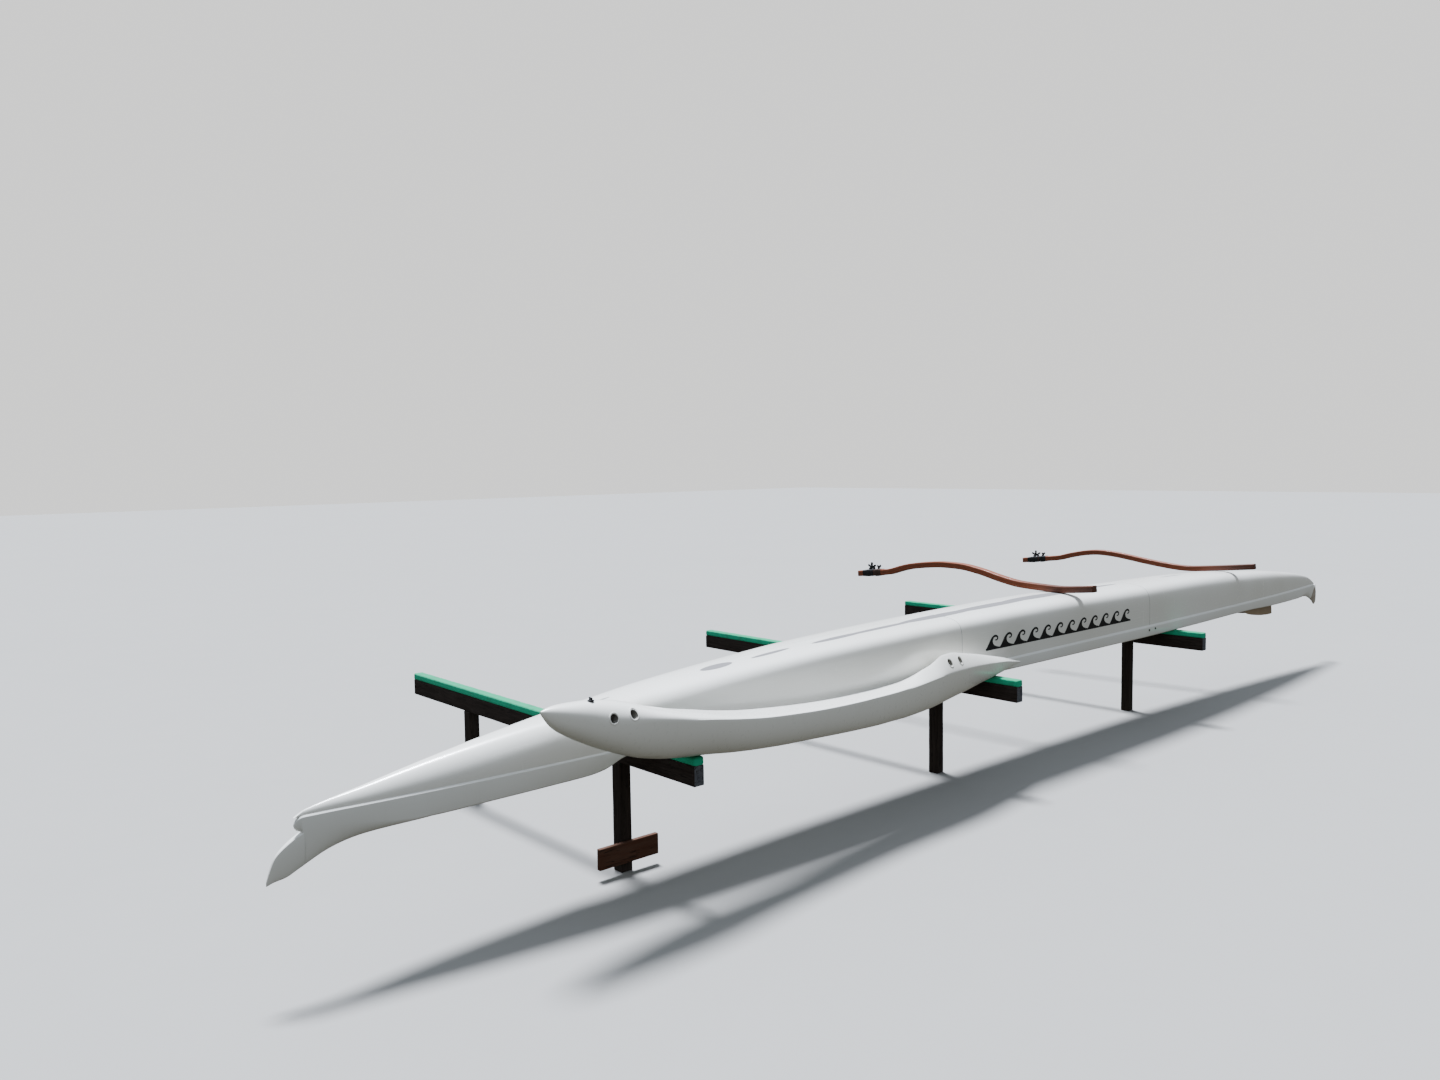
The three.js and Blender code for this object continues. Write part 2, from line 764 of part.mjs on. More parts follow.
// Booms laid across the upturned hull, each with rubber lashing round its float end
for (const [name, boom] of Object.entries(BOOMS)) {
  const line = boomLine(boom);
  const height = boomHeight(line);
  const { length } = boom;
  add(`boom_${name}`, boomSweep(line, height, 0, length, 0, 44), "wood");
  const sleeve = boomSweep(line, height, length - LASHING.back, length - LASHING.end, LASHING.wall, 4);
  const core = boomSweep(line, height, length - LASHING.back - 10, length + 4, GAP, 8);
  add(`lashing_${name}`, sleeve.subtract(core), "rubber");
}

// Rack. The pad's far stretch is a piece of its own, free for another hull.
named(TRESTLE_COLUMNS, TRESTLE_ROWS).forEach(({ x, nearY, beamEnd }, i) => {
  const n = i + 1;
  const s = POST.side / 2;
  for (const [side, y] of [
    ["near", nearY],
    ["far", POST.farY],
  ]) {
    add(`post_${side}_${n}`, box(x - s, x + s, y - s, y + s, 0, BEAM.low - GAP), "timber");
  }
  const b = BEAM.width / 2;
  const p = PAD.width / 2;
  const floor = BEAM.high + GAP;
  add(`beam_${n}`, box(x - b, x + b, beamEnd, BEAM.far, BEAM.low, BEAM.high), "timber");
  add(`pad_${n}`, box(x - p, x + p, beamEnd, PAD.split, floor, PAD.high), "pad");
  add(`pad_free_${n}`, box(x - p, x + p, PAD.split + GAP, BEAM.far, floor, PAD.high), "pad");
});
const boardY = TRESTLE_ROWS[0][1] - POST.side / 2 - GAP;
const { length, low, high, thick } = FOOT_BOARD;
add("foot_board", box(-length / 2, length / 2, boardY - thick, boardY, low, high), "board");

for (const piece of root.children) piece.position.set(-ORIGIN.x, -ORIGIN.y, 0);

export default root;
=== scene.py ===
"""An outrigger canoe stored keel up on its padded timber rack, dressed for rendering.

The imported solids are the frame: bodies root, boom_rear and boom_front. Each class below is
one sub-assembly, with its sizes as fields in millimetres. +X runs from stern to bow, +Y away
from the float and +Z up. x = 0 is the first trestle, y = 0 the hull's centre plane and z = 0
the ground, and `place` turns those measures into metres in the frame of the solids.
"""

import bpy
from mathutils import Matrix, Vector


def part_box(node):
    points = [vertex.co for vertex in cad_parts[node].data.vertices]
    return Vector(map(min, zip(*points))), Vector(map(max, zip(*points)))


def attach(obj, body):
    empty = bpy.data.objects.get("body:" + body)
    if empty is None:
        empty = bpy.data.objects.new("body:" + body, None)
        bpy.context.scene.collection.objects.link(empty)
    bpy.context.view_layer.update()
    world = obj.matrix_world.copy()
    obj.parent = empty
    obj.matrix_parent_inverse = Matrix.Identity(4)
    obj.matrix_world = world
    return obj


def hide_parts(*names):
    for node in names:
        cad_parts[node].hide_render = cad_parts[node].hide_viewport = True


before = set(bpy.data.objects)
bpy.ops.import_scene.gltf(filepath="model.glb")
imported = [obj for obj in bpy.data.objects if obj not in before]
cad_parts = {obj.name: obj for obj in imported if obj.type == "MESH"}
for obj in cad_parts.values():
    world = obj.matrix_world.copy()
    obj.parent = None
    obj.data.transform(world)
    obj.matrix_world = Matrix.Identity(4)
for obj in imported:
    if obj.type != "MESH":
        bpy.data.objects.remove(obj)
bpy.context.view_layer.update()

import logging
import math
from abc import ABC, abstractmethod
from collections.abc import Iterable, Sequence
from dataclasses import dataclass, field
from enum import Enum
from typing import Any

import bmesh
import bpy
import numpy as np
from mathutils import Matrix, Vector

log = logging.getLogger("canoe")

ORIGIN = (3420.0, 970.0)
Points = np.ndarray
Colour = tuple[float, float, float, float]
Faces = list[tuple[int, ...]]
Outline = list[tuple[float, float]]


class Side(Enum):
    """The hull's two sides: the near one faces the float."""

    NEAR = -1
    FAR = 1


class Body(str, Enum):
    """Bodies of the frame."""

    ROOT = "root"
    BOOM_REAR = "boom_rear"
    BOOM_FRONT = "boom_front"


def place(points: Any) -> Points:
    """Turn measures in millimetres into metres in the frame of the solids.

    Args:
        points: Array of any shape whose last axis holds x, y and z.

    Returns:
        The same points in metres.
    """
    return (np.asarray(points, dtype=float) - (ORIGIN[0], ORIGIN[1], 0.0)) / 1000.0


def smoothstep(low: float, high: float, value: Any) -> Any:
    """Ease from 0 at low to 1 at high."""
    t = np.clip((np.asarray(value, dtype=float) - low) / (high - low), 0.0, 1.0)
    return t * t * (3.0 - 2.0 * t)


class Fair:
    """A fair curve through a table's column, which doesn't overshoot its rows."""

    STEP = 5.0

    def __init__(self, xs: Sequence[float], ys: Sequence[float], soft: float = 0.0) -> None:
        """Sample the curve once.

        Args:
            xs: Places of the rows, rising.
            ys: Values at the rows.
            soft: Width over which its bends are evened out.
        """
        x = np.asarray(xs, dtype=float)
        y = np.asarray(ys, dtype=float)
        slopes = np.diff(y) / np.diff(x)
        tangents = np.empty_like(y)
        tangents[0], tangents[-1] = slopes[0], slopes[-1]
        before, after = slopes[:-1], slopes[1:]
        total = np.where(np.abs(before + after) < 1e-12, 1.0, before + after)
        tangents[1:-1] = np.where(before * after <= 0, 0.0, 2 * before * after / total)
        self.x = np.append(np.arange(x[0], x[-1], self.STEP), x[-1])
        k = np.clip(np.searchsorted(x, self.x, side="right") - 1, 0, len(x) - 2)
        h = x[k + 1] - x[k]
        t = (self.x - x[k]) / h
        self.y = (
            (2 * t**3 - 3 * t**2 + 1) * y[k]
            + (t**3 - 2 * t**2 + t) * h * tangents[k]
            + (3 * t**2 - 2 * t**3) * y[k + 1]
            + (t**3 - t**2) * h * tangents[k + 1]
        )
        if soft:
            self._even_out(soft)

    def _even_out(self, soft: float) -> None:
        """Average the samples with a bell of the given width, with straight run-outs."""
        reach = int(3 * soft / self.STEP)
        bell = np.exp(-0.5 * (np.arange(-reach, reach + 1) * self.STEP / soft) ** 2)
        ahead = np.arange(1, reach + 1)
        first = self.y[0] - ahead[::-1] * (self.y[1] - self.y[0])
        last = self.y[-1] + ahead * (self.y[-1] - self.y[-2])
        padded = np.concatenate([first, self.y, last])
        self.y = np.convolve(padded, bell / bell.sum(), mode="valid")

    def __call__(self, x: Any) -> Any:
        """Return the curve's value at x, which may be an array."""
        return np.interp(x, self.x, self.y)


def table_of(columns: Sequence[str], rows: Sequence[Sequence[float]], soft: float = 0.0) -> dict[str, Fair]:
    """Make one fair curve for each column after the first, which holds the places."""
    data = np.asarray(rows, dtype=float)
    return {name: Fair(data[:, 0], data[:, k + 1], soft) for k, name in enumerate(columns[1:])}


class Wire:
    """A value's socket in a shader, on which Python arithmetic adds Math nodes."""

    def __init__(self, graph: "Graph", socket: bpy.types.NodeSocket) -> None:
        """Wrap a socket of the graph."""
        self.graph = graph
        self.socket = socket

    def _maths(self, operation: str, *values: Any) -> "Wire":
        """Add one Math node on the values."""
        settings = {"operation": operation}
        return self.graph.value("ShaderNodeMath", settings, dict(enumerate(values)))

    def __add__(self, other: Any) -> "Wire":
        """Add."""
        return self._maths("ADD", self, other)

    __radd__ = __add__

    def __sub__(self, other: Any) -> "Wire":
        """Subtract."""
        return self._maths("SUBTRACT", self, other)

    def __rsub__(self, other: Any) -> "Wire":
        """Subtract from a number."""
        return self._maths("SUBTRACT", other, self)

    def __mul__(self, other: Any) -> "Wire":
        """Multiply."""
        return self._maths("MULTIPLY", self, other)

    __rmul__ = __mul__

    def __truediv__(self, other: Any) -> "Wire":
        """Divide."""
        return self._maths("DIVIDE", self, other)

    def over(self, other: Any) -> "Wire":
        """Return the larger of the two."""
        return self._maths("MAXIMUM", self, other)

    def floor(self) -> "Wire":
        """Round down."""
        return self._maths("FLOOR", self)

    def size(self) -> "Wire":
        """Drop the sign."""
        return self._maths("ABSOLUTE", self)

    def eased(self, low: float, high: float) -> "Wire":
        """Ease from 0 where the value is low to 1 where it is high."""
        settings = {"interpolation_type": "SMOOTHSTEP"}
        inputs = {"Value": self, "From Min": low, "From Max": high}
        return self.graph.value("ShaderNodeMapRange", settings, inputs)


class Graph:
    """A node tree made in code, with one method for any node."""

    def __init__(self, tree: bpy.types.NodeTree) -> None:
        """Start on an empty tree."""
        self.tree = tree
        tree.nodes.clear()

    def node(
        self, kind: str, settings: dict[str, Any] | None = None, inputs: dict[Any, Any] | None = None
    ) -> bpy.types.Node:
        """Add a node.

        Args:
            kind: The node's type.
            settings: Its properties, set first; "stops" holds a ramp's places and colours.
            inputs: Values or links of its sockets, by name or number.

        Returns:
            The node.
        """
        node = self.tree.nodes.new(kind)
        for key, value in (settings or {}).items():
            if key == "stops":
                self._set_stops(node.color_ramp, value)
            else:
                setattr(node, key, value)
        for key, value in (inputs or {}).items():
            given = value.socket if isinstance(value, Wire) else value
            if isinstance(given, bpy.types.NodeSocket):
                self.tree.links.new(given, node.inputs[key])
            else:
                node.inputs[key].default_value = given
        return node

    @staticmethod
    def _set_stops(ramp: bpy.types.ColorRamp, stops: Sequence[tuple[float, Colour]]) -> None:
        """Give a ramp its stops."""
        while len(ramp.elements) < len(stops):
            ramp.elements.new(0.5)
        for element, (where, colour) in zip(ramp.elements, stops, strict=True):
            element.position = where
            element.color = colour

    def value(
        self, kind: str, settings: dict[str, Any] | None, inputs: dict[Any, Any], output: Any = 0
    ) -> Wire:
        """Add a node and return one of its outputs."""
        return Wire(self, self.node(kind, settings, inputs).outputs[output])

    def here(self) -> Wire:
        """Return the piece's own coordinates, in metres."""
        return self.value("ShaderNodeTexCoord", None, {}, "Object")

    def stretched(self, where: Wire, scale: Sequence[float]) -> Wire:
        """Stretch coordinates along the axes."""
        return self.value("ShaderNodeMapping", None, {"Vector": where, "Scale": scale})

    def axis(self, where: Wire, name: str) -> Wire:
        """Return one coordinate: X, Y or Z."""
        return self.value("ShaderNodeSeparateXYZ", None, {0: where}, name)

    def noise(
        self, where: Wire, scale: float, detail: float = 3.0, rough: float = 0.5, warp: float = 0.0
    ) -> Wire:
        """Return soft noise between 0 and 1."""
        inputs = {"Vector": where, "Scale": scale, "Detail": detail, "Roughness": rough, "Distortion": warp}
        return self.value("ShaderNodeTexNoise", None, inputs)

    def spot(self, where: Wire, centre: Sequence[float], reach: Sequence[float], edge: float = 0.7) -> Wire:
        """Mask of an ellipsoid: 1 inside and 0 outside, with a soft rim.

        Args:
            where: Coordinates.
            centre: Its middle, in millimetres.
            reach: Its half sizes, in millimetres.
            edge: Share of the reach inside which the mask is full.

        Returns:
            The mask.
        """
        size = [max(r, 1.0) / 1000.0 for r in reach]
        inputs = {0: where, 1: [float(v) for v in place(centre)]}
        offset = self.value("ShaderNodeVectorMath", {"operation": "SUBTRACT"}, inputs)
        scaled = self.value("ShaderNodeVectorMath", {"operation": "DIVIDE"}, {0: offset, 1: size})
        far = self.value("ShaderNodeVectorMath", {"operation": "LENGTH"}, {0: scaled}, "Value")
        return 1.0 - far.eased(edge, 1.0)

    def mix(self, share: Any, first: Any, second: Any) -> Wire:
        """Mix two colours."""
        return self.value("ShaderNodeMix", {"data_type": "RGBA"}, {0: share, 6: first, 7: second}, 2)

    def ramp(self, value: Wire, stops: Sequence[tuple[float, Colour]]) -> Wire:
        """Run a value through a colour ramp."""
        return self.value("ShaderNodeValToRGB", {"stops": stops}, {"Fac": value})

    def bump(self, height: Wire, depth: float, strength: float = 1.0) -> Wire:
        """Turn a height between 0 and 1 into a bump of the given depth in metres."""
        inputs = {"Height": height, "Distance": depth, "Strength": strength}
        return self.value("ShaderNodeBump", None, inputs)


@dataclass(frozen=True)
class Finish(ABC):
    """One finish. Its numbers that don't change over the surface go on the shader itself."""

    name: str
    colour: Colour
    roughness: float = 0.5
    metallic: float = 0.0
    coat: float = 0.0
    sheen: float = 0.0
    gloss: float = 0.5

    def material(self) -> bpy.types.Material:
        """Return the finish's material, made on its first use."""
        made = bpy.data.materials.get(self.name)
        if made:
            return made
        made = bpy.data.materials.new(self.name)
        made.use_nodes = True
        made.diffuse_color = self.colour
        graph = Graph(made.node_tree)
        inputs: dict[str, Any] = {
            "Base Color": self.colour,
            "Roughness": self.roughness,
            "Metallic": self.metallic,
            "Coat Weight": self.coat,
            "Coat Roughness": 0.12,
            "Sheen Weight": self.sheen,
            "Specular IOR Level": self.gloss,
        }
        inputs.update(self.paint(graph, graph.here()))
        shader = graph.node("ShaderNodeBsdfPrincipled", None, inputs)
        graph.node("ShaderNodeOutputMaterial", None, {"Surface": shader.outputs[0]})
        return made

    @abstractmethod
    def paint(self, graph: Graph, here: Wire) -> dict[str, Any]:
        """Build what varies over the surface.

        Args:
            graph: The material's graph.
            here: The piece's coordinates.

        Returns:
            The shader's inputs that the finish drives.
        """


@dataclass(frozen=True)
class Mark:
    """A stain, scuff or painted shadow on gelcoat: an ellipsoid in millimetres and its strength."""

    centre: tuple[float, float, float]
    reach: tuple[float, float, float]
    strength: float
    edge: float = 0.35


@dataclass(frozen=True)
class Gelcoat(Finish):
    """Semi-gloss gelcoat, a little yellowed, with scuff marks, run-off streaks, stains and a painted shadow
    mark.
    """

    scuffs_and_shadow: tuple[Mark, ...] = ()
    grime: tuple[Mark, ...] = ()
    shade: Colour = (0.60, 0.58, 0.50, 1)
    scuff_and_shadow_tint: Colour = (0.15, 0.145, 0.15, 1)
    rim_tint: Colour = (0.035, 0.032, 0.03, 1)
    grime_tint: Colour = (0.24, 0.215, 0.13, 1)

    def _marks(self, graph: Graph, here: Wire, marks: Iterable[Mark], ragged: Wire) -> Wire | None:
        """Join the masks of several marks and break their rims up."""
        total: Wire | None = None
        for mark in marks:
            mask = graph.spot(here, mark.centre, mark.reach, mark.edge) * mark.strength
            total = mask if total is None else total.over(mask)
        return None if total is None else (total * 1.5 - ragged * 0.5).eased(0.05, 0.95)

    def paint(self, graph: Graph, here: Wire) -> dict[str, Any]:
        """Yellowing, fine scratches along the hull, streaks, scuff marks with a painted shadow among them,
        and grime.
        """
        broad = graph.noise(here, 1.1, 2.0)
        ragged = graph.noise(here, 38.0, 4.0, 0.65)
        lengthwise = graph.noise(graph.stretched(here, (0.9, 60, 60)), 6.0, 3.0, 0.6)
        streaks = graph.noise(graph.stretched(here, (22, 22, 1.4)), 1.6, 3.0, 0.6).eased(0.55, 0.85)
        colour = graph.mix(broad.eased(0.35, 0.8) * 0.35, self.colour, self.shade)
        colour = graph.mix(lengthwise.eased(0.62, 0.8) * 0.10, colour, self.scuff_and_shadow_tint)
        colour = graph.mix(streaks * 0.05, colour, self.grime_tint)
        worn: Wire = streaks * 0.06 + lengthwise.eased(0.6, 0.8) * 0.3
        for marks, tint in ((self.scuffs_and_shadow, self.scuff_and_shadow_tint), (self.grime, self.grime_tint)):
            mask = self._marks(graph, here, marks, ragged)
            if mask is not None:
                colour = graph.mix(mask, colour, tint)
                worn = worn.over(mask)
                if marks is self.scuffs_and_shadow:
                    colour = graph.mix(mask * (1.0 - mask) * 2.4, colour, self.rim_tint)
        wave = graph.noise(here, 2.4, 1.0)
        return {
            "Base Color": colour,
            "Roughness": (worn * 0.5 + ragged * 0.06) + (self.roughness - 0.03),
            "Coat Weight": (1.0 - worn) * self.coat,
            "Normal": graph.bump(wave + ragged * 0.02, 0.004, 0.35),
        }


@dataclass(frozen=True)
class Flowcoat(Finish):
    """Matte inside of a moulding, with the weave of the cloth showing through."""

    def paint(self, graph: Graph, here: Wire) -> dict[str, Any]:
        """Woven roving under brushed-on resin."""
        weave_x = graph.value("ShaderNodeTexWave", {"bands_direction": "X"}, {"Vector": here, "Scale": 34.0})
        weave_z = graph.value("ShaderNodeTexWave", {"bands_direction": "Z"}, {"Vector": here, "Scale": 34.0})
        blots = graph.noise(here, 7.0, 4.0)
        tone = graph.mix(blots.eased(0.35, 0.75), self.colour, (0.42, 0.41, 0.36, 1))
        return {
            "Base Color": tone,
            "Roughness": blots * 0.2 + (self.roughness - 0.1),
            "Normal": graph.bump(weave_x * weave_z, 0.0008, 0.6),
        }


@dataclass(frozen=True)
class Plain(Finish):
    """A moulded or poured material with fine mottling and a dull bloom."""

    bloom: Colour = (0.3, 0.3, 0.3, 1)
    grain: float = 60.0
    depth: float = 0.0004

    def paint(self, graph: Graph, here: Wire) -> dict[str, Any]:
        """Mottling and bloom."""
        fine = graph.noise(here, self.grain, 4.0, 0.6)
        broad = graph.noise(here, self.grain * 0.12, 2.0)
        colour = graph.mix(broad.eased(0.45, 0.85) * 0.5, self.colour, self.bloom)
        return {
            "Base Color": colour,
            "Roughness": fine * 0.2 + (self.roughness - 0.1),
            "Normal": graph.bump(fine, self.depth, 0.5),
        }


@dataclass(frozen=True)
class Laminate(Finish):
    """Varnished wood glued up from thin bent layers. Its coordinates come from `lay`."""

    dark: Colour = (0.05, 0.014, 0.006, 1)
    layer: float = 0.0059
    shaded_end: float = 0.84

    def paint(self, graph: Graph, here: Wire) -> dict[str, Any]:
        """Layers with glue lines, long grain, and a darker hull end."""
        lay = graph.value("ShaderNodeAttribute", {"attribute_name": "lay"}, {}, "Vector")
        along = graph.axis(lay, "X")
        up = graph.axis(lay, "Z") / self.layer
        number = up.floor()
        glue = 1.0 - (up - number - 0.5).size().eased(0.5, 0.38)
        tone = graph.value("ShaderNodeTexWhiteNoise", {"noise_dimensions": "1D"}, {"W": number})
        grain = graph.noise(graph.stretched(lay, (2.2, 70, 70)), 5.0, 5.0, 0.65, 0.4)
        colour = graph.mix(tone * 0.4 + grain * 0.3, self.colour, self.dark)
        colour = graph.mix(glue * 0.55, colour, self.dark)
        colour = graph.mix((1.0 - along.eased(0.15, 0.9)) * self.shaded_end, colour, self.dark)
        worn = graph.noise(lay, 14.0, 5.0, 0.7).eased(0.6, 0.78)
        colour = graph.mix(worn * 0.25, colour, (0.30, 0.21, 0.15, 1))
        return {
            "Base Color": colour,
            "Roughness": worn * 0.35 + self.roughness,
            "Coat Weight": (1.0 - worn) * self.coat,
            "Normal": graph.bump(grain * 0.6 - glue * 0.6, 0.0006, 0.5),
        }


@dataclass(frozen=True)
class Timber(Finish):
    """Weathered sawn timber with its grain along one axis."""

    run: tuple[float, float, float] = (1, 1, 1)
    pale: Colour = (0.16, 0.14, 0.125, 1)

    def paint(self, graph: Graph, here: Wire) -> dict[str, Any]:
        """Grain, checks and greyed patches."""
        scale = [60.0 / r for r in self.run]
        grain = graph.noise(graph.stretched(here, scale), 1.0, 6.0, 0.7, 0.5)
        checks = graph.noise(graph.stretched(here, [v * 0.6 for v in scale]), 1.2, 2.0, 0.5, 1.2)
        split = 1.0 - (checks - 0.5).size().eased(0.0, 0.03)
        patches = graph.noise(here, 9.0, 3.0)
        colour = graph.mix(grain.eased(0.35, 0.75) * 0.6, self.colour, self.pale)
        colour = graph.mix(patches.eased(0.5, 0.8) * 0.35, colour, self.pale)
        colour = graph.mix(split * 0.8, colour, (0.006, 0.005, 0.005, 1))
        return {
            "Base Color": colour,
            "Roughness": grain * 0.15 + (self.roughness - 0.1),
            "Normal": graph.bump(grain * 0.5 - split * 0.5, 0.0015, 0.8),
        }


@dataclass(frozen=True)
class PadCloth(Finish):
    """Green needle-felt carpet whose top gets a darker tone than its sides: painted shade against the sun on
    the top.
    """

    top_shade_tone: Colour = (0.014, 0.26, 0.13, 1)

    def paint(self, graph: Graph, here: Wire) -> dict[str, Any]:
        """Fibres, a darker painted-shade tone on top, and dirt in the nap."""
        fibres = graph.noise(graph.stretched(here, (1, 0.35, 1)), 900.0, 4.0, 0.7)
        tufts = graph.noise(here, 160.0, 3.0, 0.6)
        height = graph.axis(here, "Z")
        dirt = graph.noise(here, 13.0, 4.0, 0.6).eased(0.5, 0.8)
        # Painted shade: the top takes a darker tone than the sides to offset the sun that falls on it.
        colour = graph.mix(height.eased(0.700, 0.7145), self.colour, self.top_shade_tone)
        colour = graph.mix(tufts.eased(0.4, 0.8) * 0.3, colour, (0.012, 0.22, 0.15, 1))
        colour = graph.mix(dirt * 0.35, colour, (0.05, 0.07, 0.05, 1))
        return {
            "Base Color": colour,
            "Roughness": fibres * 0.1 + (self.roughness - 0.05),
            "Normal": graph.bump(fibres * 0.5 + tufts * 0.5, 0.0012, 0.8),
        }


GELCOAT = Gelcoat(
    "hull_gelcoat",
    (0.80, 0.795, 0.76, 1),
    roughness=0.26,
    coat=0.35,
    scuffs_and_shadow=(
        Mark((470, -37, 1028), (122, 42, 90), 1.0, 0.74),
        Mark((845, -56, 1052), (166, 21, 90), 1.0, 0.7),
        Mark((1370, -72, 1080), (250, 27, 90), 1.0, 0.7),
        Mark((1750, -71, 1092), (420, 24, 90), 1.0, 0.7),
        Mark((2330, -64, 1106), (450, 42, 90), 1.0, 0.8),
        Mark((2900, -60, 1116), (520, 46, 90), 1.0, 0.8),
        Mark((3450, -46, 1122), (480, 54, 90), 1.0, 0.8),
        Mark((4250, -30, 1118), (420, 24, 90), 0.9, 0.6),
        Mark((5500, -24, 1106), (300, 14, 90), 0.6, 0.4),
        Mark((-300, -20, 960), (150, 14, 90), 0.6, 0.4),
        # Painted shadow: a small dark spot at the bow end of the keel.
        Mark((8440, 0, 862), (46, 12, 30), 0.7),
    ),
)
FLOAT_GELCOAT = Gelcoat(
    "float_gelcoat",
    (0.79, 0.785, 0.745, 1),
    roughness=0.28,
    coat=0.3,
    scuffs_and_shadow=(
        Mark((120, -478, 720), (420, 34, 22), 0.22),
        Mark((1500, -430, 630), (480, 40, 24), 0.2),
    ),
    grime=(
        Mark((-330, -450, 775), (330, 90, 62), 0.42),
        Mark((45, -420, 712), (140, 90, 30), 0.5),
        Mark((2545, -310, 712), (120, 60, 26), 0.5),
    ),
)
DECK_GELCOAT = Gelcoat(
    "deck_gelcoat",
    (0.76, 0.765, 0.745, 1),
    roughness=0.3,
    coat=0.3,
    grime=(
        Mark((-1790, 0, 500), (70, 30, 60), 0.22),
        Mark((8655, 0, 560), (150, 80, 190), 0.6, 0.9),
        Mark((60, -195, 716), (130, 40, 16), 0.35),
        Mark((2620, -250, 716), (130, 30, 16), 0.35),
        Mark((5210, -236, 716), (130, 30, 16), 0.35),
    ),
    grime_tint=(0.22, 0.15, 0.085, 1),
)
INSIDE = Flowcoat("inside_flowcoat", (0.62, 0.61, 0.56, 1), roughness=0.6)
# Dark finish for the holes' bores: painted shade inside the holes, with some dirt.
BORE_SHADE_AND_DIRT = Plain("bore_shade_and_dirt", (0.30, 0.29, 0.26, 1), roughness=0.6, gloss=0.3, bloom=(0.22, 0.20, 0.17, 1))
SEALANT = Plain("seam_sealant", (0.20, 0.20, 0.19, 1), roughness=0.6, bloom=(0.3, 0.3, 0.28, 1))
VINYL = Plain(
    "vinyl_black", (0.008, 0.008, 0.009, 1), roughness=0.55, gloss=0.15,
    bloom=(0.014, 0.014, 0.014, 1), depth=0.0001,
)
GUARD_PLASTIC = Plain(
    "guard_plastic", (0.27, 0.19, 0.11, 1), roughness=0.5, gloss=0.3, bloom=(0.34, 0.25, 0.16, 1)
)
RUBBER = Plain(
    "lashing_rubber", (0.013, 0.013, 0.014, 1), roughness=0.75, gloss=0.2,
    bloom=(0.03, 0.029, 0.028, 1), grain=120.0,
)
OLD_RUBBER = Plain(
    "lashing_rubber_old", (0.045, 0.026, 0.020, 1), roughness=0.8, gloss=0.2,
    bloom=(0.09, 0.06, 0.045, 1), grain=90.0,
)
STEEL = Plain(
    "bolt_steel", (0.16, 0.155, 0.15, 1), roughness=0.4, metallic=1.0, bloom=(0.10, 0.08, 0.065, 1)
)
BOOM_WOOD = Laminate("boom_laminate", (0.30, 0.082, 0.038, 1), roughness=0.5, coat=0.08, gloss=0.22)
BAR_WOOD = Timber(
    "bar_timber", (0.30, 0.17, 0.075, 1), roughness=0.45, run=(1, 14, 1), pale=(0.42, 0.27, 0.14, 1)
)
POST_WOOD = Timber(
    "post_timber", (0.020, 0.015, 0.013, 1), roughness=0.85, gloss=0.15,
    run=(1, 1, 14), pale=(0.05, 0.038, 0.032, 1),
)
BEAM_WOOD = Timber(
    "beam_timber", (0.024, 0.017, 0.015, 1), roughness=0.85, gloss=0.15,
    run=(1, 14, 1), pale=(0.055, 0.044, 0.04, 1),
)
END_GRAIN = Timber(
    "beam_end_grain", (0.075, 0.08, 0.095, 1), roughness=0.85, gloss=0.2,
    run=(2, 2, 2), pale=(0.15, 0.155, 0.17, 1),
)
BOARD_WOOD = Timber(
    "board_timber", (0.075, 0.030, 0.018, 1), roughness=0.82, gloss=0.15,
    run=(14, 1, 1), pale=(0.10, 0.062, 0.045, 1),
)
PAD_CLOTH = PadCloth("pad_cloth", (0.016, 0.45, 0.25, 1), roughness=0.85, sheen=0.04, gloss=0.1)
PALE_FLOOR = Plain(
    "pale_floor", (0.29, 0.285, 0.275, 1), roughness=0.95,
    bloom=(0.28, 0.275, 0.265, 1), grain=3.0, depth=0.0,
)


def mesh_piece(
    name: str,
    points: Any,
    faces: Sequence[Sequence[int]],
    finishes: Sequence[Finish],
    which: Sequence[int] | None = None,
    sharp: float | None = 38.0,
) -> bpy.types.Object:
    """Make a piece from points in metres.

    Args:
        name: The piece's name.
        points: Its points.
        faces: Its faces, as rows of point numbers.
        finishes: Its finishes.
        which: The number of each face's finish, or None for the first.
        sharp: Angle in degrees past which an edge stays crisp, or None for flat faces.

    Returns:
        The object, linked to the scene.
    """
    mesh = bpy.data.meshes.new(name)
    mesh.from_pydata([tuple(map(float, p)) for p in points], [], [tuple(map(int, f)) for f in faces])
    for finish in finishes:
        mesh.materials.append(finish.material())
    if which is not None:
        mesh.polygons.foreach_set("material_index", list(which))
    piece = bpy.data.objects.new(name, mesh)
    bpy.context.scene.collection.objects.link(piece)
    settle(piece, sharp)
    return piece


def settle(piece: bpy.types.Object, sharp: float | None = 38.0, merge: float = 1e-6) -> None:
    """Merge doubled points, turn the faces outwards and set the shading."""
    mesh = piece.data
    work = bmesh.new()
    work.from_mesh(mesh)
    bmesh.ops.remove_doubles(work, verts=work.verts, dist=merge)
    bmesh.ops.dissolve_degenerate(work, edges=work.edges, dist=merge)
    bmesh.ops.recalc_face_normals(work, faces=work.faces)
    work.to_mesh(mesh)
    work.free()
    if sharp is not None:
        mesh.polygons.foreach_set("use_smooth", [True] * len(mesh.polygons))
        mesh.set_sharp_from_angle(angle=math.radians(sharp))
    mesh.update()


def grid_faces(rows: int, count: int, closed: bool) -> Faces:
    """Return the quads between rows of points.

    Args:
        rows: Number of rows.
        count: Points in a row.
        closed: Whether a row's last point joins its first.

    Returns:
        The faces.
    """
    faces = []
    for r in range(rows - 1):
        for i in range(count if closed else count - 1):
            j = (i + 1) % count
            a, b = r * count + i, r * count + j
            faces.append((a, b, b + count, a + count))
    return faces


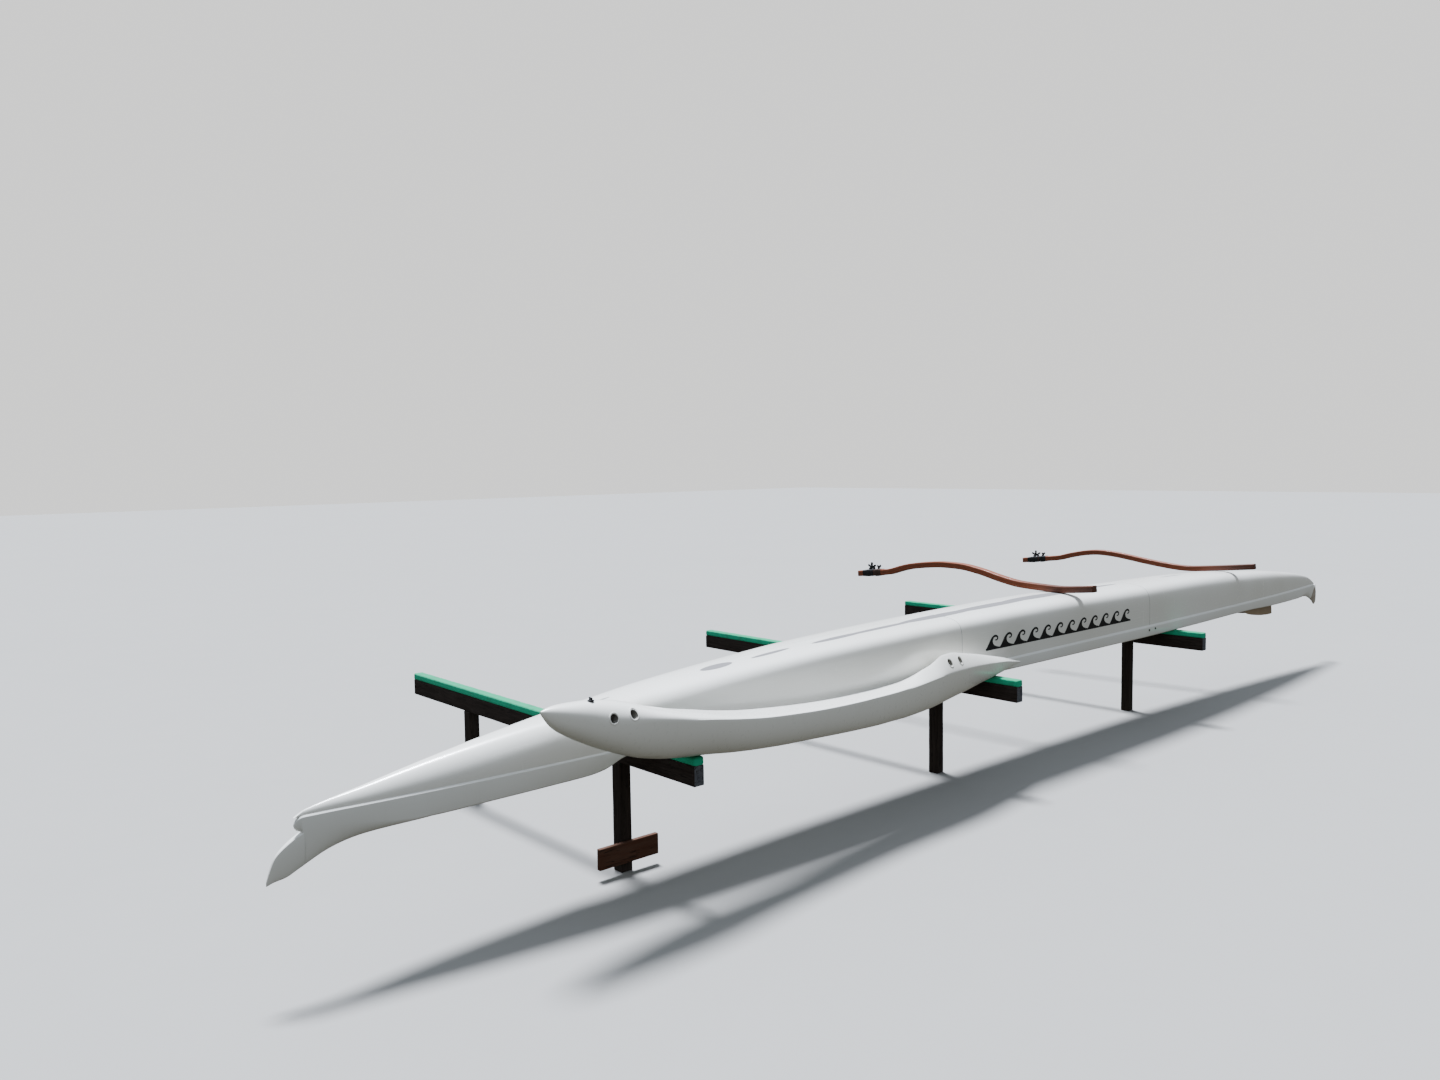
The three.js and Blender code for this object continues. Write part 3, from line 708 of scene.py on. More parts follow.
def skin(rings: Sequence[Points]) -> tuple[Points, Faces]:
    """Join closed rings with equal counts and close both ends with fans."""
    count = len(rings[0])
    points = list(np.concatenate(rings))
    faces = grid_faces(len(rings), count, True)
    for ring, start in ((rings[0], 0), (rings[-1], (len(rings) - 1) * count)):
        points.append(np.mean(ring, axis=0))
        hub = len(points) - 1
        faces += [(hub, start + (i + 1) % count, start + i) for i in range(count)]
    return np.array(points), faces


def gathered(parts: Iterable[tuple[Points, Faces]]) -> tuple[Points, Faces]:
    """Put the points and faces of several meshes together."""
    points: list[Points] = []
    faces: Faces = []
    base = 0
    for more_points, more_faces in parts:
        points.append(more_points)
        faces += [tuple(base + i for i in face) for face in more_faces]
        base += len(more_points)
    return np.concatenate(points), faces


def looped(rings: Sequence[Points]) -> tuple[Points, Faces]:
    """Points and faces of a band of equal rings that comes back to its start."""
    return np.concatenate([*rings, rings[0]]), grid_faces(len(rings) + 1, len(rings[0]), True)


def angles(count: int) -> Points:
    """Return evenly spaced angles round a circle."""
    return np.arange(count) * 2 * math.pi / count


def rounded(
    half_u: float, half_v: float, radius: float, turns: int, between: Sequence[float] = ()
) -> Points:
    """Outline of a rectangle with rounded corners.

    Args:
        half_u: Half its breadth.
        half_v: Half its height.
        radius: Radius of its corners.
        turns: Steps round a corner.
        between: Where further points stand on each side, as shares of it.

    Returns:
        The points, anticlockwise.
    """
    corners = ((1, 1), (-1, 1), (-1, -1), (1, -1))

    def on_corner(k: int, t: int) -> Points:
        """Return the point at step t of corner k."""
        a = math.pi / 2 * (k + t / turns)
        centre = np.array(corners[k % 4]) * (half_u - radius, half_v - radius)
        return centre + radius * np.array([math.cos(a), math.sin(a)])

    out: list[Points] = []
    for k in range(4):
        out += [on_corner(k, t) for t in range(turns + 1)]
        start, end = out[-1], on_corner(k + 1, 0)
        out += [start + (end - start) * f for f in between]
    return np.array(out)


def evened(line: Points, count: int) -> Points:
    """Spread count points evenly along a line of points."""
    steps = np.linalg.norm(np.diff(line, axis=0), axis=1)
    far = np.concatenate([[0.0], np.cumsum(steps)])
    at = np.linspace(0, far[-1], count)
    return np.stack([np.interp(at, far, line[:, k]) for k in range(line.shape[1])], axis=1)


def spread(
    start: float, end: float, step: float, fine: Iterable[float] = (), fine_step: float = 4.0
) -> Points:
    """Return stations between two ends, closer together near the places in fine."""
    marks = list(np.linspace(start, end, max(2, int(round((end - start) / step)) + 1)))
    for middle in fine:
        marks += [middle + k * fine_step for k in range(-14, 15)]
    kept = sorted(m for m in marks if start <= m <= end)
    out = [start]
    for m in kept[1:]:
        if m - out[-1] > fine_step * 0.5:
            out.append(m)
    if end - out[-1] < fine_step * 0.5:
        out.pop()
    return np.array(out + [end])


def carried(
    piece: bpy.types.Object, body: Body, stands_for: Sequence[str] = ()
) -> None:
    """Ride a piece on its body and hide the nodes that it stands for."""
    if stands_for:
        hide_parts(*stands_for)
    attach(piece, body.value)
    log.info("%s rides on %s, %d faces", piece.name, body.value, len(piece.data.polygons))


def dress(names: Iterable[str], finish: Finish) -> None:
    """Give CAD nodes that keep their shape a finish."""
    for name in names:
        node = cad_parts[name]
        if not node.data.materials:
            node.data.materials.append(None)
        for slot in node.material_slots:
            slot.material = finish.material()


@dataclass
class HullForm:
    """The hull's lines, shared by its skins, decks, fins and marks."""

    columns: tuple[str, ...] = ("x", "half", "sheer", "ledge", "keel", "full")
    rows: tuple[tuple[float, ...], ...] = (
        (-1725, 12, 652, 714, 726, 2.0),
        (-1640, 24, 652, 720, 750, 2.0),
        (-1470, 50, 617, 723, 780, 2.0),
        (-1200, 86, 616, 728, 833, 2.1),
        (-900, 122, 629, 734, 884, 2.4),
        (-600, 150, 642, 740, 926, 3.0),
        (-420, 165, 651, 744, 948, 3.6),
        (-330, 172, 666, 746, 954, 4.0),
        (-250, 176, 700, 749, 962, 4.3),
        (-165, 181, 716, 752, 973, 4.6),
        (0, 190, 716, 756, 991, 5.2),
        (600, 215, 716, 767, 1039, 7.0),
        (1200, 235, 716, 777, 1076, 8.0),
        (2240, 250, 716, 787, 1109, 8.0),
        (3440, 255, 716, 795, 1126, 7.5),
        (4640, 250, 716, 800, 1117, 6.5),
        (5400, 230, 716, 799, 1109, 6.0),
        (6200, 196, 716, 795, 1084, 5.3),
        (6700, 168, 711, 791, 1055, 5.0),
        (7200, 134, 695, 786, 1021, 4.6),
        (7700, 94, 684, 781, 973, 4.2),
        (8070, 62, 680, 778, 929, 3.8),
        (8400, 30, 672, 777, 872, 3.2),
        (8560, 14, 660, 776, 819, 2.5),
        (8610, 9, 655, 776, 790, 2.0),
    )
    wall: float = 6.0
    ledge_width: tuple[float, float] = (8.0, 11.0)
    ledge_grows: tuple[float, float] = (-1000.0, 5000.0)
    crown: float = 0.1
    lines: dict[str, Fair] = field(default_factory=dict)

    def __post_init__(self) -> None:
        """Fair the lines; the keel and breadth get the softest bends."""
        soft = {"half": 60.0, "sheer": 16.0, "ledge": 60.0, "keel": 55.0, "full": 60.0}
        data = np.asarray(self.rows, dtype=float)
        for k, name in enumerate(self.columns[1:]):
            self.lines[name] = Fair(data[:, 0], data[:, k + 1], soft[name])

    def at(self, name: str, x: Any) -> Any:
        """Return one of the lines at x."""
        return self.lines[name](x)

    def grown(self, sizes: tuple[float, float], x: float) -> float:
        """Return a size of the ledge at x: it grows towards the bow."""
        share = float(smoothstep(*self.ledge_grows, x))
        return sizes[0] + (sizes[1] - sizes[0]) * share

    def arc(self, x: float, inset: float, count: int) -> Points:
        """Points over the keel from the near ledge to the far one, evenly spread.

        Args:
            x: The station.
            inset: Distance inside the outer face.
            count: Number of points.

        Returns:
            The points.
        """
        half = float(self.at("half", x))
        half -= min(self.grown(self.ledge_width, x), 0.45 * half)
        ledge = self.at("ledge", x)
        wide = max(half - inset, 0.3 * half)
        rise = max(self.at("keel", x) - inset - ledge, 0.3 * (self.at("keel", x) - ledge))
        power = 2.0 / self.at("full", x)
        a = np.linspace(0, math.pi, 361)
        y = -np.sign(np.cos(a)) * np.abs(np.cos(a)) ** power * wide
        z = ledge + np.sin(a).clip(0) ** power * rise * (1 - self.crown * (y / wide) ** 2)
        line = evened(np.stack([y, z], axis=1), count)
        return np.column_stack([np.full(count, x), line])

    def outside(self, x: float, z: float, side: Side, lift: float = 0.0) -> tuple[float, float, float]:
        """Point of the hull's side at a height, lifted off it."""
        arc = self.arc(x, 0.0, 121)[61:]
        at = float(np.interp(z, arc[::-1, 2], np.arange(len(arc))[::-1]))
        low, high = max(int(at) - 1, 0), min(int(at) + 2, len(arc) - 1)
        run = arc[high] - arc[low]
        size = math.hypot(run[1], run[2]) or 1.0
        y = float(np.interp(at, np.arange(len(arc)), arc[:, 1]))
        return (x, side.value * (y - lift * run[2] / size), z + lift * run[1] / size)


HULL = HullForm()


@dataclass
class HullSkins:
    """The three bolted sections of the hull, each an open shell, and the sealed seams."""

    stern_end: float = -1725.0
    seam_aft: float = 2330.0
    seam_fore: float = 4727.0
    bow_end: float = 8610.0
    groove: float = 1.6
    edge_round: float = 1.2
    edge_reach: float = 2.5
    lift: float = 0.3
    bevel_from: float = -1670.0
    bevel_foot: tuple[float, float] = (-1722.0, 715.0)
    bevel_slope: float = 0.58
    seal_depths: tuple[float, float] = (0.9, 4.0)
    step: float = 22.0
    count: int = 83

    def bevel(self, x: float) -> float:
        """Height that the skin keeps under at x: it is cut off slanting at the stern."""
        foot, low = self.bevel_foot
        return low + self.bevel_slope * (x - foot) if x < self.bevel_from else math.inf

    def section(self, name: str, start: float, end: float) -> bpy.types.Object:
        """Make one section as a shell with rounded seam edges."""
        seams = [x for x in (start, end) if x not in (self.stern_end, self.bow_end)]
        fine = (-1695.0,) if start == self.stern_end else ()
        stations = spread(start, end, self.step, fine, 2.0)
        rows = []
        for x in stations:
            near = min((abs(x - s) for s in seams), default=99.0)
            tuck = self.edge_round * max(0.0, 1.0 - near / self.edge_reach)
            outer = HULL.arc(x, tuck, self.count)
            inner = HULL.arc(x, HULL.wall, self.count)[::-1]
            outer[:, 2] = np.minimum(outer[:, 2], self.bevel(x)) + self.lift
            inner[:, 2] = np.minimum(inner[:, 2], self.bevel(x) - 1.0) + self.lift
            rows.append(np.concatenate([outer, inner]))
        ring = 2 * self.count
        points = place(np.concatenate(rows))
        faces = grid_faces(len(rows), ring, True)
        inner_face = [int(self.count <= i < ring - 1) for i in range(ring)] * (len(rows) - 1)
        closing = self.end_faces(len(rows))
        inner_face += [0] * len(closing)
        return mesh_piece(name, points, faces + closing, (GELCOAT, INSIDE), inner_face, 50.0)

    def end_faces(self, rows: int) -> Faces:
        """Return the faces that close both ends of a shell with this many rows."""
        ring = 2 * self.count
        ends = []
        for first in (0, (rows - 1) * ring):
            for i in range(self.count - 1):
                a, b = first + i, first + ring - 1 - i
                ends.append((a, a + 1, b - 1, b))
        return ends

    def seal(self, name: str, seam: float) -> bpy.types.Object:
        """Make the bead of sealant in one seam."""
        rows = []
        for x in (seam - self.groove, seam + self.groove):
            outer = HULL.arc(x, self.seal_depths[0], self.count)
            inner = HULL.arc(x, self.seal_depths[1], self.count)[::-1]
            rows.append(np.concatenate([outer, inner]) + (0, 0, self.lift))
        faces = grid_faces(2, 2 * self.count, True) + self.end_faces(2)
        return mesh_piece(name, place(np.concatenate(rows)), faces, (SEALANT,))

    def build(self) -> None:
        """Make the sections and seams."""
        parts = (
            ("hull_skin_stern", "hull_stern", self.stern_end, self.seam_aft - self.groove),
            ("hull_skin_middle", "hull_middle", self.seam_aft + self.groove, self.seam_fore - self.groove),
            ("hull_skin_bow", "hull_bow", self.seam_fore + self.groove, self.bow_end),
        )
        for name, node, start, end in parts:
            carried(self.section(name, start, end), Body.ROOT, [node])
        for name, seam in (("seam_seal_aft", self.seam_aft), ("seam_seal_fore", self.seam_fore)):
            carried(self.seal(name, seam), Body.ROOT)


@dataclass
class Decks:
    """Deck mouldings with the band along the gunwale, the tail fin and the bow hook."""

    wall: float = 16.0
    plate: float = 8.0
    corner: float = 11.0
    lip: float = 3.0
    fillet: float = 5.0
    nose: float = 3.5
    gap: float = 0.3
    end_share: float = 0.62
    edge_share: float = 0.042
    slope: tuple[float, float] = (8.5, 16.0)
    tuck: tuple[float, float] = (7.7, 10.7)
    over: float = 2.5
    cockpit: tuple[float, float] = (900.0, 6600.0)
    rail: float = 62.0
    round_end: float = 260.0
    stern_nose: tuple[float, float, float] = (-1725.0, -1690.0, 679.0)
    fin_root: float = 34.0
    fin_leaves: tuple[float, float] = (-1694.0, 8590.0)
    rounds_off: float = 420.0
    solid_aft: float = -1180.0
    solid_fore: float = 8070.0
    tail_columns: tuple[str, ...] = ("x", "half", "low", "high")
    tail_rows: tuple[tuple[float, ...], ...] = (
        (-1840, 3.0, 465, 480),
        (-1836, 4.2, 466, 497),
        (-1824, 6, 471, 530),
        (-1806, 8, 475, 572),
        (-1766, 12, 481, 609),
        (-1722, 15, 500, 637),
        (-1690, 18, 515, 651),
        (-1600, 30, 555, 668),
        (-1530, 41, 575, 668),
        (-1470, 50, 587, 668),
        (-1330, 70, 603, 664),
        (-1180, 88, 616, 650),
    )
    hook_rows: tuple[tuple[float, ...], ...] = (
        (8070, 62, 680, 720),
        (8240, 45, 678, 720),
        (8400, 30, 668, 720),
        (8470, 21, 652, 720),
        (8530, 16, 628, 720),
        (8580, 11, 600, 722),
        (8625, 7, 568, 760),
        (8650, 5, 570, 776),
        (8672, 3.6, 588, 712),
        (8680, 2.6, 604, 692),
    )

    def opening(self, x: Any) -> Any:
        """Half breadth of the cockpit's opening at x."""
        inside = np.minimum(np.asarray(x) - self.cockpit[0], self.cockpit[1] - np.asarray(x))
        share = np.clip(inside / self.round_end, 0.0, 1.0)
        return np.sqrt(1 - (1 - share) ** 2) * (HULL.at("half", x) - self.wall - self.rail)

    def slanted_edge(self, x: float, half: float, high: float, reach: float = 1.0) -> Outline:
        """Points of the band's slanting upper edge, which meets the skin a little above its foot.

        Args:
            x: The station.
            half: The band's half breadth.
            high: Height of the ledge.
            reach: Size of the edge, where 1 is its full size.

        Returns:
            The points, from the band's face inwards.
        """
        slope = HULL.grown(self.slope, x) * reach
        tuck = HULL.grown(self.tuck, x) * reach
        steps = ((0.0, 0.0), (0.03, 0.10), (0.10, 0.20), (0.90, 0.92), (1.0, 1.0))
        top = high + self.over * reach
        return [(half - tuck * inwards, top - slope * (1 - rise)) for inwards, rise in steps]

    def profile(self, x: float) -> tuple[Points, Points]:
        """Outer and inner lines of one side of the channel, from its middle to its top."""
        half, low, high = (float(HULL.at(k, x)) for k in ("half", "sheer", "ledge"))
        start = float(self.opening(x))
        edge = start + min(self.nose, start)
        turn = np.linspace(0, math.pi / 2, 8)
        cut, fillet = self.corner, self.fillet
        outer = [(edge, low)]
        outer += [(half - cut + cut * math.sin(a), low + cut - cut * math.cos(a)) for a in turn]
        outer += self.slanted_edge(x, half, high)
        outer += [(half - self.wall, high)]
        inside, floor = half - self.wall, low + self.plate
        inner = [(edge, floor)]
        bend = floor + fillet
        inner += [(inside - fillet + fillet * math.sin(a), bend - fillet * math.cos(a)) for a in turn]
        rest = len(outer) - len(inner)
        inner += [(inside, bend + (high - bend) * (k + 1) / rest) for k in range(rest)]
        return np.array(outer), np.array(inner)

    def channel(self, name: str, start: float, end: float, sides: Sequence[Side]) -> bpy.types.Object:
        """Make a stretch of the channel, cut where the cockpit is open.

        Args:
            name: The piece's name.
            start: Its aft end.
            end: Its fore end.
            sides: The sides to make.

        Returns:
            The piece.
        """
        cockpit_ends = [x for x in self.cockpit if start < x < end]
        stations = spread(start, end, 24.0, cockpit_ends, 3.0)
        stations = np.unique(np.concatenate([stations, cockpit_ends]))
        parts = []
        turn = np.linspace(-math.pi / 2, math.pi / 2, 7)
        for side in sides:
            s = side.value
            rows = []
            for x in stations:
                outer, inner = self.profile(x)
                open_here = self.cockpit[0] <= x <= self.cockpit[1]
                reach = min(self.nose, float(self.opening(x)))
                middle = (outer[0] + inner[0]) / 2
                depth = (inner[0][1] - outer[0][1]) / 2
                lip = [(middle[0] - reach * math.cos(a), middle[1] - depth * math.sin(a)) for a in turn[1:-1]]
                rows.append((x, outer, inner, lip if open_here else None))
            parts.append(self.sheet([(x, outer) for x, outer, _, _ in rows], s))
            parts.append(self.sheet([(x, inner) for x, _, inner, _ in rows], s))
            noses = [(x, [inner[0], *lip, outer[0]]) for x, outer, inner, lip in rows if lip]
            if noses:
                parts.append(self.sheet(noses, s))
            parts.append(self.sheet([(x, [outer[-1], inner[-1]]) for x, outer, inner, _ in rows], s))
            for x, outer, inner, lip in (rows[0], rows[-1]):
                parts.append(self.sheet([(x, outer), (x, inner)], s))
                if lip:
                    corners, _ = self.sheet([(x, [inner[0], *lip, outer[0]])], s)
                    parts.append((corners, [tuple(range(len(corners)))]))
        points, faces = gathered(parts)
        return mesh_piece(name, place(points), faces, (DECK_GELCOAT,), None, 32.0)

    @staticmethod
    def sheet(lines: Sequence[tuple[float, Any]], side: int) -> tuple[Points, Faces]:
        """Points and faces of a sheet through lines across the hull, each given with its x."""
        points = [(x, side * y, z) for x, line in lines for y, z in line]
        return np.array(points), grid_faces(len(lines), len(lines[0][1]), False)

    def solid_end(self, rows: Sequence[Sequence[float]], aft: bool) -> tuple[Points, Faces]:
        """Points and faces of a decked end with its fin, in one smooth skin.

        Args:
            rows: The fin's table.
            aft: Whether this is the tail.

        Returns:
            Points in millimetres and faces.
        """
        lines = table_of(self.tail_columns, rows, 5.0)
        inner_end = self.solid_aft if aft else self.solid_fore
        hull_end = float(HULL.rows[0 if aft else -1][0])
        tip = rows[0 if aft else -1][0]
        root = hull_end + (self.fin_root if aft else -self.fin_root)
        body = spread(min(inner_end, hull_end), max(inner_end, hull_end), 9.0, (hull_end,), 1.5)
        fin = spread(min(tip, root), max(tip, root), 4.0)
        parts = []
        for stations, whole in ((body, True), (fin, False)):
            rings = []
            for x in stations:
                gone = float(smoothstep(0, self.rounds_off, abs(x - inner_end)))
                half = float(HULL.at("half", x) if whole else lines["half"](x))
                top = float(HULL.at("ledge", x) if whole else lines["high"](x))
                low = self.body_low(x, lines, aft) if whole else float(lines["low"](x))
                if whole and aft:
                    half, low, top = self.nosed(x, half, low, top)
                rings.append(self.end_ring(x, half, low, top, gone, whole))
            parts.append(skin(rings))
        return gathered(parts)

    def nosed(self, x: float, half: float, low: float, top: float) -> tuple[float, float, float]:
        """Round the stern deck's end off: its half breadth, bottom and top at x."""
        tip, start, middle = self.stern_nose
        gone = min(max((start - x) / (start - tip), 0.0), 1.0)
        full = max(math.sqrt(1 - gone**2), 0.12)
        return half * (0.4 + 0.6 * full), middle + (low - middle) * full, middle + (top - middle) * full

    def body_low(self, x: float, lines: dict[str, Fair], aft: bool) -> float:
        """Lowest point of the decked end at x, where its fin hangs below the sheer."""
        past = self.fin_leaves[0] - x if aft else x - self.fin_leaves[1]
        return float(HULL.at("sheer", x) if past > 0 else lines["low"](x))

    def end_ring(self, x: float, half: float, low: float, top: float, gone: float, whole: bool) -> Points:
        """Closed section of a decked end: its corners round off as gone goes to 1."""
        across = min(self.corner + (half - self.corner) * gone, half) if half > self.corner else half
        tall = self.end_share * (top - low)
        up = min(self.corner + (tall - self.corner) * gone, tall)
        lip = min(self.lip, 0.45 * half, 0.3 * (top - low))
        turn = np.linspace(0, math.pi / 2, 13)
        right = [(0.5 * (half - across), low)]
        right += [(half - across + across * math.sin(a), low + up - up * math.cos(a)) for a in turn]
        reach = min(1.0, self.edge_share * half) if whole else lip / self.tuck[0]
        over = self.over * reach
        right += self.slanted_edge(x, half, top if whole else top - over, reach)
        right += [(0.4 * (half - lip), top + (over if whole else 0.0))]
        ring = [(x, 0.0, low), *[(x, y, z) for y, z in right], (x, 0.0, top)]
        ring += [(x, -y, z) for y, z in reversed(right)]
        return np.array(ring)

    def build(self) -> None:
        """Make the stern deck, both rails and the bow deck."""
        hull = HullSkins()
        both = (Side.NEAR, Side.FAR)
        stern = self.channel("stern_deck", self.solid_aft, hull.seam_aft - self.gap, both)
        bow = self.channel("bow_deck", hull.seam_fore + self.gap, self.solid_fore, both)
        ends = (
            (stern, self.tail_rows, True, "tail_fin", "deck_stern"),
            (bow, self.hook_rows, False, "bow_hook", "deck_bow"),
        )
        for deck, rows, aft, name, node in ends:
            points, faces = self.solid_end(rows, aft)
            end = mesh_piece(name, place(points), faces, (DECK_GELCOAT,), None, 32.0)
            carried(deck, Body.ROOT, [node])
            carried(end, Body.ROOT, [node])
        rails = ((Side.NEAR, "rail_near", "gunwale_port"), (Side.FAR, "rail_far", "gunwale_starboard"))
        for side, name, node in rails:
            rail = self.channel(name, hull.seam_aft + self.gap, hull.seam_fore - self.gap, (side,))
            carried(rail, Body.ROOT, [node])


@dataclass
class Float:
    """The float, with its raised lashing ends, holes, rims and vent plug."""

    columns: tuple[str, ...] = ("x", "half", "flat", "top", "chine", "bottom")
    rows: tuple[tuple[float, ...], ...] = (
        (-860, 4, 2, 1074, 1068, 1061),
        (-828, 24, 10, 1085, 1050, 1012),
        (-770, 50, 24, 1088, 1028, 966),
        (-650, 78, 34, 1085, 995, 899),
        (-540, 94, 36, 1072, 974, 848),
        (-450, 104, 40, 1054, 964, 812),
        (-375, 111, 46, 1032, 957, 786),
        (-300, 117, 54, 1004, 949, 766),
        (-190, 124, 62, 974, 934, 744),
        (-90, 128, 68, 947, 917, 731),
        (45, 126, 70, 919, 896, 716.4),
        (200, 116, 70, 887, 870, 694),
        (400, 106, 66, 856, 842, 672),
        (600, 97, 62, 836, 823, 656),
        (800, 90, 58, 820, 808, 645),
        (1000, 82, 52, 809, 798, 633),
        (1200, 75, 46, 803, 793, 623),
        (1400, 71, 40, 802, 792, 617),
        (1600, 71, 36, 812, 797, 617),
        (1700, 72, 34, 833, 804, 620),
        (1800, 73, 32, 866, 813, 626),
        (1890, 73, 30, 886, 820, 633),
        (1940, 72, 30, 905, 824, 640),
        (1990, 71, 28, 928, 827, 646),
        (2090, 69, 28, 931, 829, 660),
        (2200, 63, 26, 914, 829, 672),
        (2400, 48, 20, 880, 821, 699),
        (2545, 37, 13, 850, 812, 717),
        (2700, 23, 8, 818, 798, 740),
        (2810, 11, 4, 788, 780, 757),
        (2880, 3, 1, 772, 769, 763),
    )
    axis_ends: tuple[float, float, float, float] = (-860.0, -455.0, 2880.0, -295.0)
    hole_radius: float = 21.0
    bore_reach: float = 200.0
    rim_out: float = 2.6
    rim_wide: float = 4.2
    rim_proud: float = 1.7
    holes: tuple[tuple[float, float], ...] = ((-541, 1003), (-434, 1003), (2031, 881), (2140, 881))
    plug: tuple[float, float] = (-616.0, -20.0)
    ridge_from: tuple[float, float] = (1500.0, 1800.0)
    ridge_power: float = 1.7
    bowl_power: float = 0.86
    lines: dict[str, Fair] = field(default_factory=dict)

    def __post_init__(self) -> None:
        """Fair the float's lines."""
        self.lines = table_of(self.columns, self.rows, 20.0)

    def middle(self, x: float) -> float:
        """Return the y of the float's centre line."""
        x0, y0, x1, y1 = self.axis_ends
        return y0 + (x - x0) / (x1 - x0) * (y1 - y0)

    def ring(self, x: float, count: int = 36) -> Points:
        """Closed section: a full bowl below the chine, and a crowned deck or a ridge above it."""
        half, flat, top, chine, bottom = (float(self.lines[k](x)) for k in self.columns[1:])
        y0 = self.middle(x)
        a = np.linspace(math.pi / 2, 0, 181)
        across = half * np.cos(a).clip(0) ** self.bowl_power
        bowl = np.stack([across, chine - (chine - bottom) * np.sin(a) ** self.bowl_power], axis=1)
        share = min(flat / half, 0.75)
        power = 2.0 / (2.0 + 1.6 * float(smoothstep(0.34, 0.66, share)))
        power += (self.ridge_power - power) * float(smoothstep(*self.ridge_from, x))
        b = np.linspace(0, math.pi / 2, 121)[1:]
        across = half * np.cos(b).clip(0) ** power
        deck = np.stack([across, chine + (top - chine) * np.sin(b) ** power], axis=1)
        upper = evened(np.vstack([bowl[-1:], deck]), count // 2 + 1)[1:]
        right = np.concatenate([evened(bowl, count), upper])
        right[0, 0] = right[-1, 0] = 0.0
        left = right[-2:0:-1] * (-1, 1)
        whole = np.concatenate([right, left])
        return np.column_stack([np.full(len(whole), x), y0 + whole[:, 0], whole[:, 1]])

    def body(self) -> bpy.types.Object:
        """Make the float and bore its holes."""
        ends = (self.axis_ends[0], self.axis_ends[2])
        near = [x for x, _ in self.holes]
        tip = ends[0] + np.arange(1, 8) * 2.0
        stations = np.unique(np.concatenate([spread(*ends, 16.0, near, 4.0), tip]))
        points, faces = skin([self.ring(float(x)) for x in stations])
        body = mesh_piece("float_body", place(points), faces, (FLOAT_GELCOAT,), None, 40.0)
        points, faces = gathered(self.bore(x, z) for x, z in self.holes)
        cutter = mesh_piece("float_bores", place(points), faces, (FLOAT_GELCOAT,))
        cut = body.modifiers.new("bores", "BOOLEAN")
        cut.operation, cut.solver, cut.object = "DIFFERENCE", "EXACT", cutter
        bake_modifiers(body)
        bpy.data.objects.remove(cutter)
        body.data.set_sharp_from_angle(angle=math.radians(26))
        # The bore faces take the dark bore finish: painted shade with some dirt.
        body.data.materials.append(BORE_SHADE_AND_DIRT.material())
        for face in body.data.polygons:
            at = 1000.0 * face.center + Vector((*ORIGIN, 0.0))
            if any(math.hypot(at.x - x, at.z - z) < self.hole_radius + 0.5 for x, z in self.holes):
                face.material_index = 1
        return body

    def bore(self, x: float, z: float, sides: int = 48) -> tuple[Points, Faces]:
        """Points and faces of a round bar through the float along Y."""
        a = angles(sides)
        across, up = self.hole_radius * np.cos(a), self.hole_radius * np.sin(a)
        ring = np.stack([x + across, np.full(sides, self.middle(x)), z + up], axis=1)
        return skin([ring - (0, self.bore_reach, 0), ring + (0, self.bore_reach, 0)])

    def deck_side(self, x: float, z: float, side: int) -> float:
        """Return the y of the deck's outside at a height, on one side of its centre line."""
        ring = self.ring(x)
        half = ring[ring[:, 1] * side > self.middle(x) * side]
        upper = half[half[:, 2] >= float(self.lines["chine"](x)) - 1]
        order = np.argsort(upper[:, 2])
        return float(np.interp(z, upper[order, 2], upper[order, 1]))

    def rims(self) -> bpy.types.Object:
        """Make the glassed-in rims that stand a little proud round the holes."""
        turns, tube_sides = 40, 10
        parts = []
        for x, z in self.holes:
            for side in (-1, 1):
                rings = []
                for a in angles(turns):
                    r = self.hole_radius + self.rim_out
                    px, pz = x + r * math.cos(a), z + r * math.sin(a)
                    py = self.deck_side(px, pz, side)
                    out = np.array([math.cos(a), 0, math.sin(a)])
                    off = np.array([0, side, 0])
                    b = angles(tube_sides)[:, None]
                    proud = self.rim_wide * np.cos(b) * out + self.rim_proud * np.sin(b) * off
                    rings.append(np.array([px, py, pz]) + proud)
                parts.append(looped(rings))
        points, faces = gathered(parts)
        return mesh_piece("float_hole_rims", place(points), faces, (FLOAT_GELCOAT,), None, 60.0)

    def vent_plug(self) -> bpy.types.Object:
        """Make the black vent plug: a stepped cap with a thumb bar across it."""
        x, off = self.plug
        y, z = self.middle(x) + off, float(self.lines["top"](x)) - 1.2
        profile = ((15.0, 0.0), (15.6, 1.4), (15.0, 4.4), (12.5, 5.4), (9.0, 6.0), (8.4, 10.0), (7.0, 11.0))
        a = angles(32)
        circle = np.stack([np.cos(a), np.sin(a), np.zeros(32)], axis=1)
        rings = [np.array([x, y, z + h]) + r * circle for r, h in profile]
        bar_rings = []
        for t in np.linspace(-1, 1, 15):
            wide = 3.6 * math.sqrt(max(1 - abs(t) ** 6, 0.04))
            tall = 4.2 * math.sqrt(max(1 - abs(t) ** 8, 0.04))
            b = angles(14)
            centre = np.array([x, y + 13.5 * t, z + 13.8])
            bar_rings.append(centre + np.stack([wide * np.cos(b), np.zeros(14), tall * np.sin(b)], axis=1))
        points, faces = gathered([skin(rings), skin(bar_rings)])
        return mesh_piece("vent_plug", place(points), faces, (RUBBER,), None, 40.0)

    def build(self) -> None:
        """Make the float's pieces."""
        nodes = ["float_hull", "float_deck", "float_end_aft", "float_end_fore"]
        carried(self.body(), Body.ROOT, nodes)
        carried(self.rims(), Body.ROOT)
        carried(self.vent_plug(), Body.ROOT, ["float_plug"])


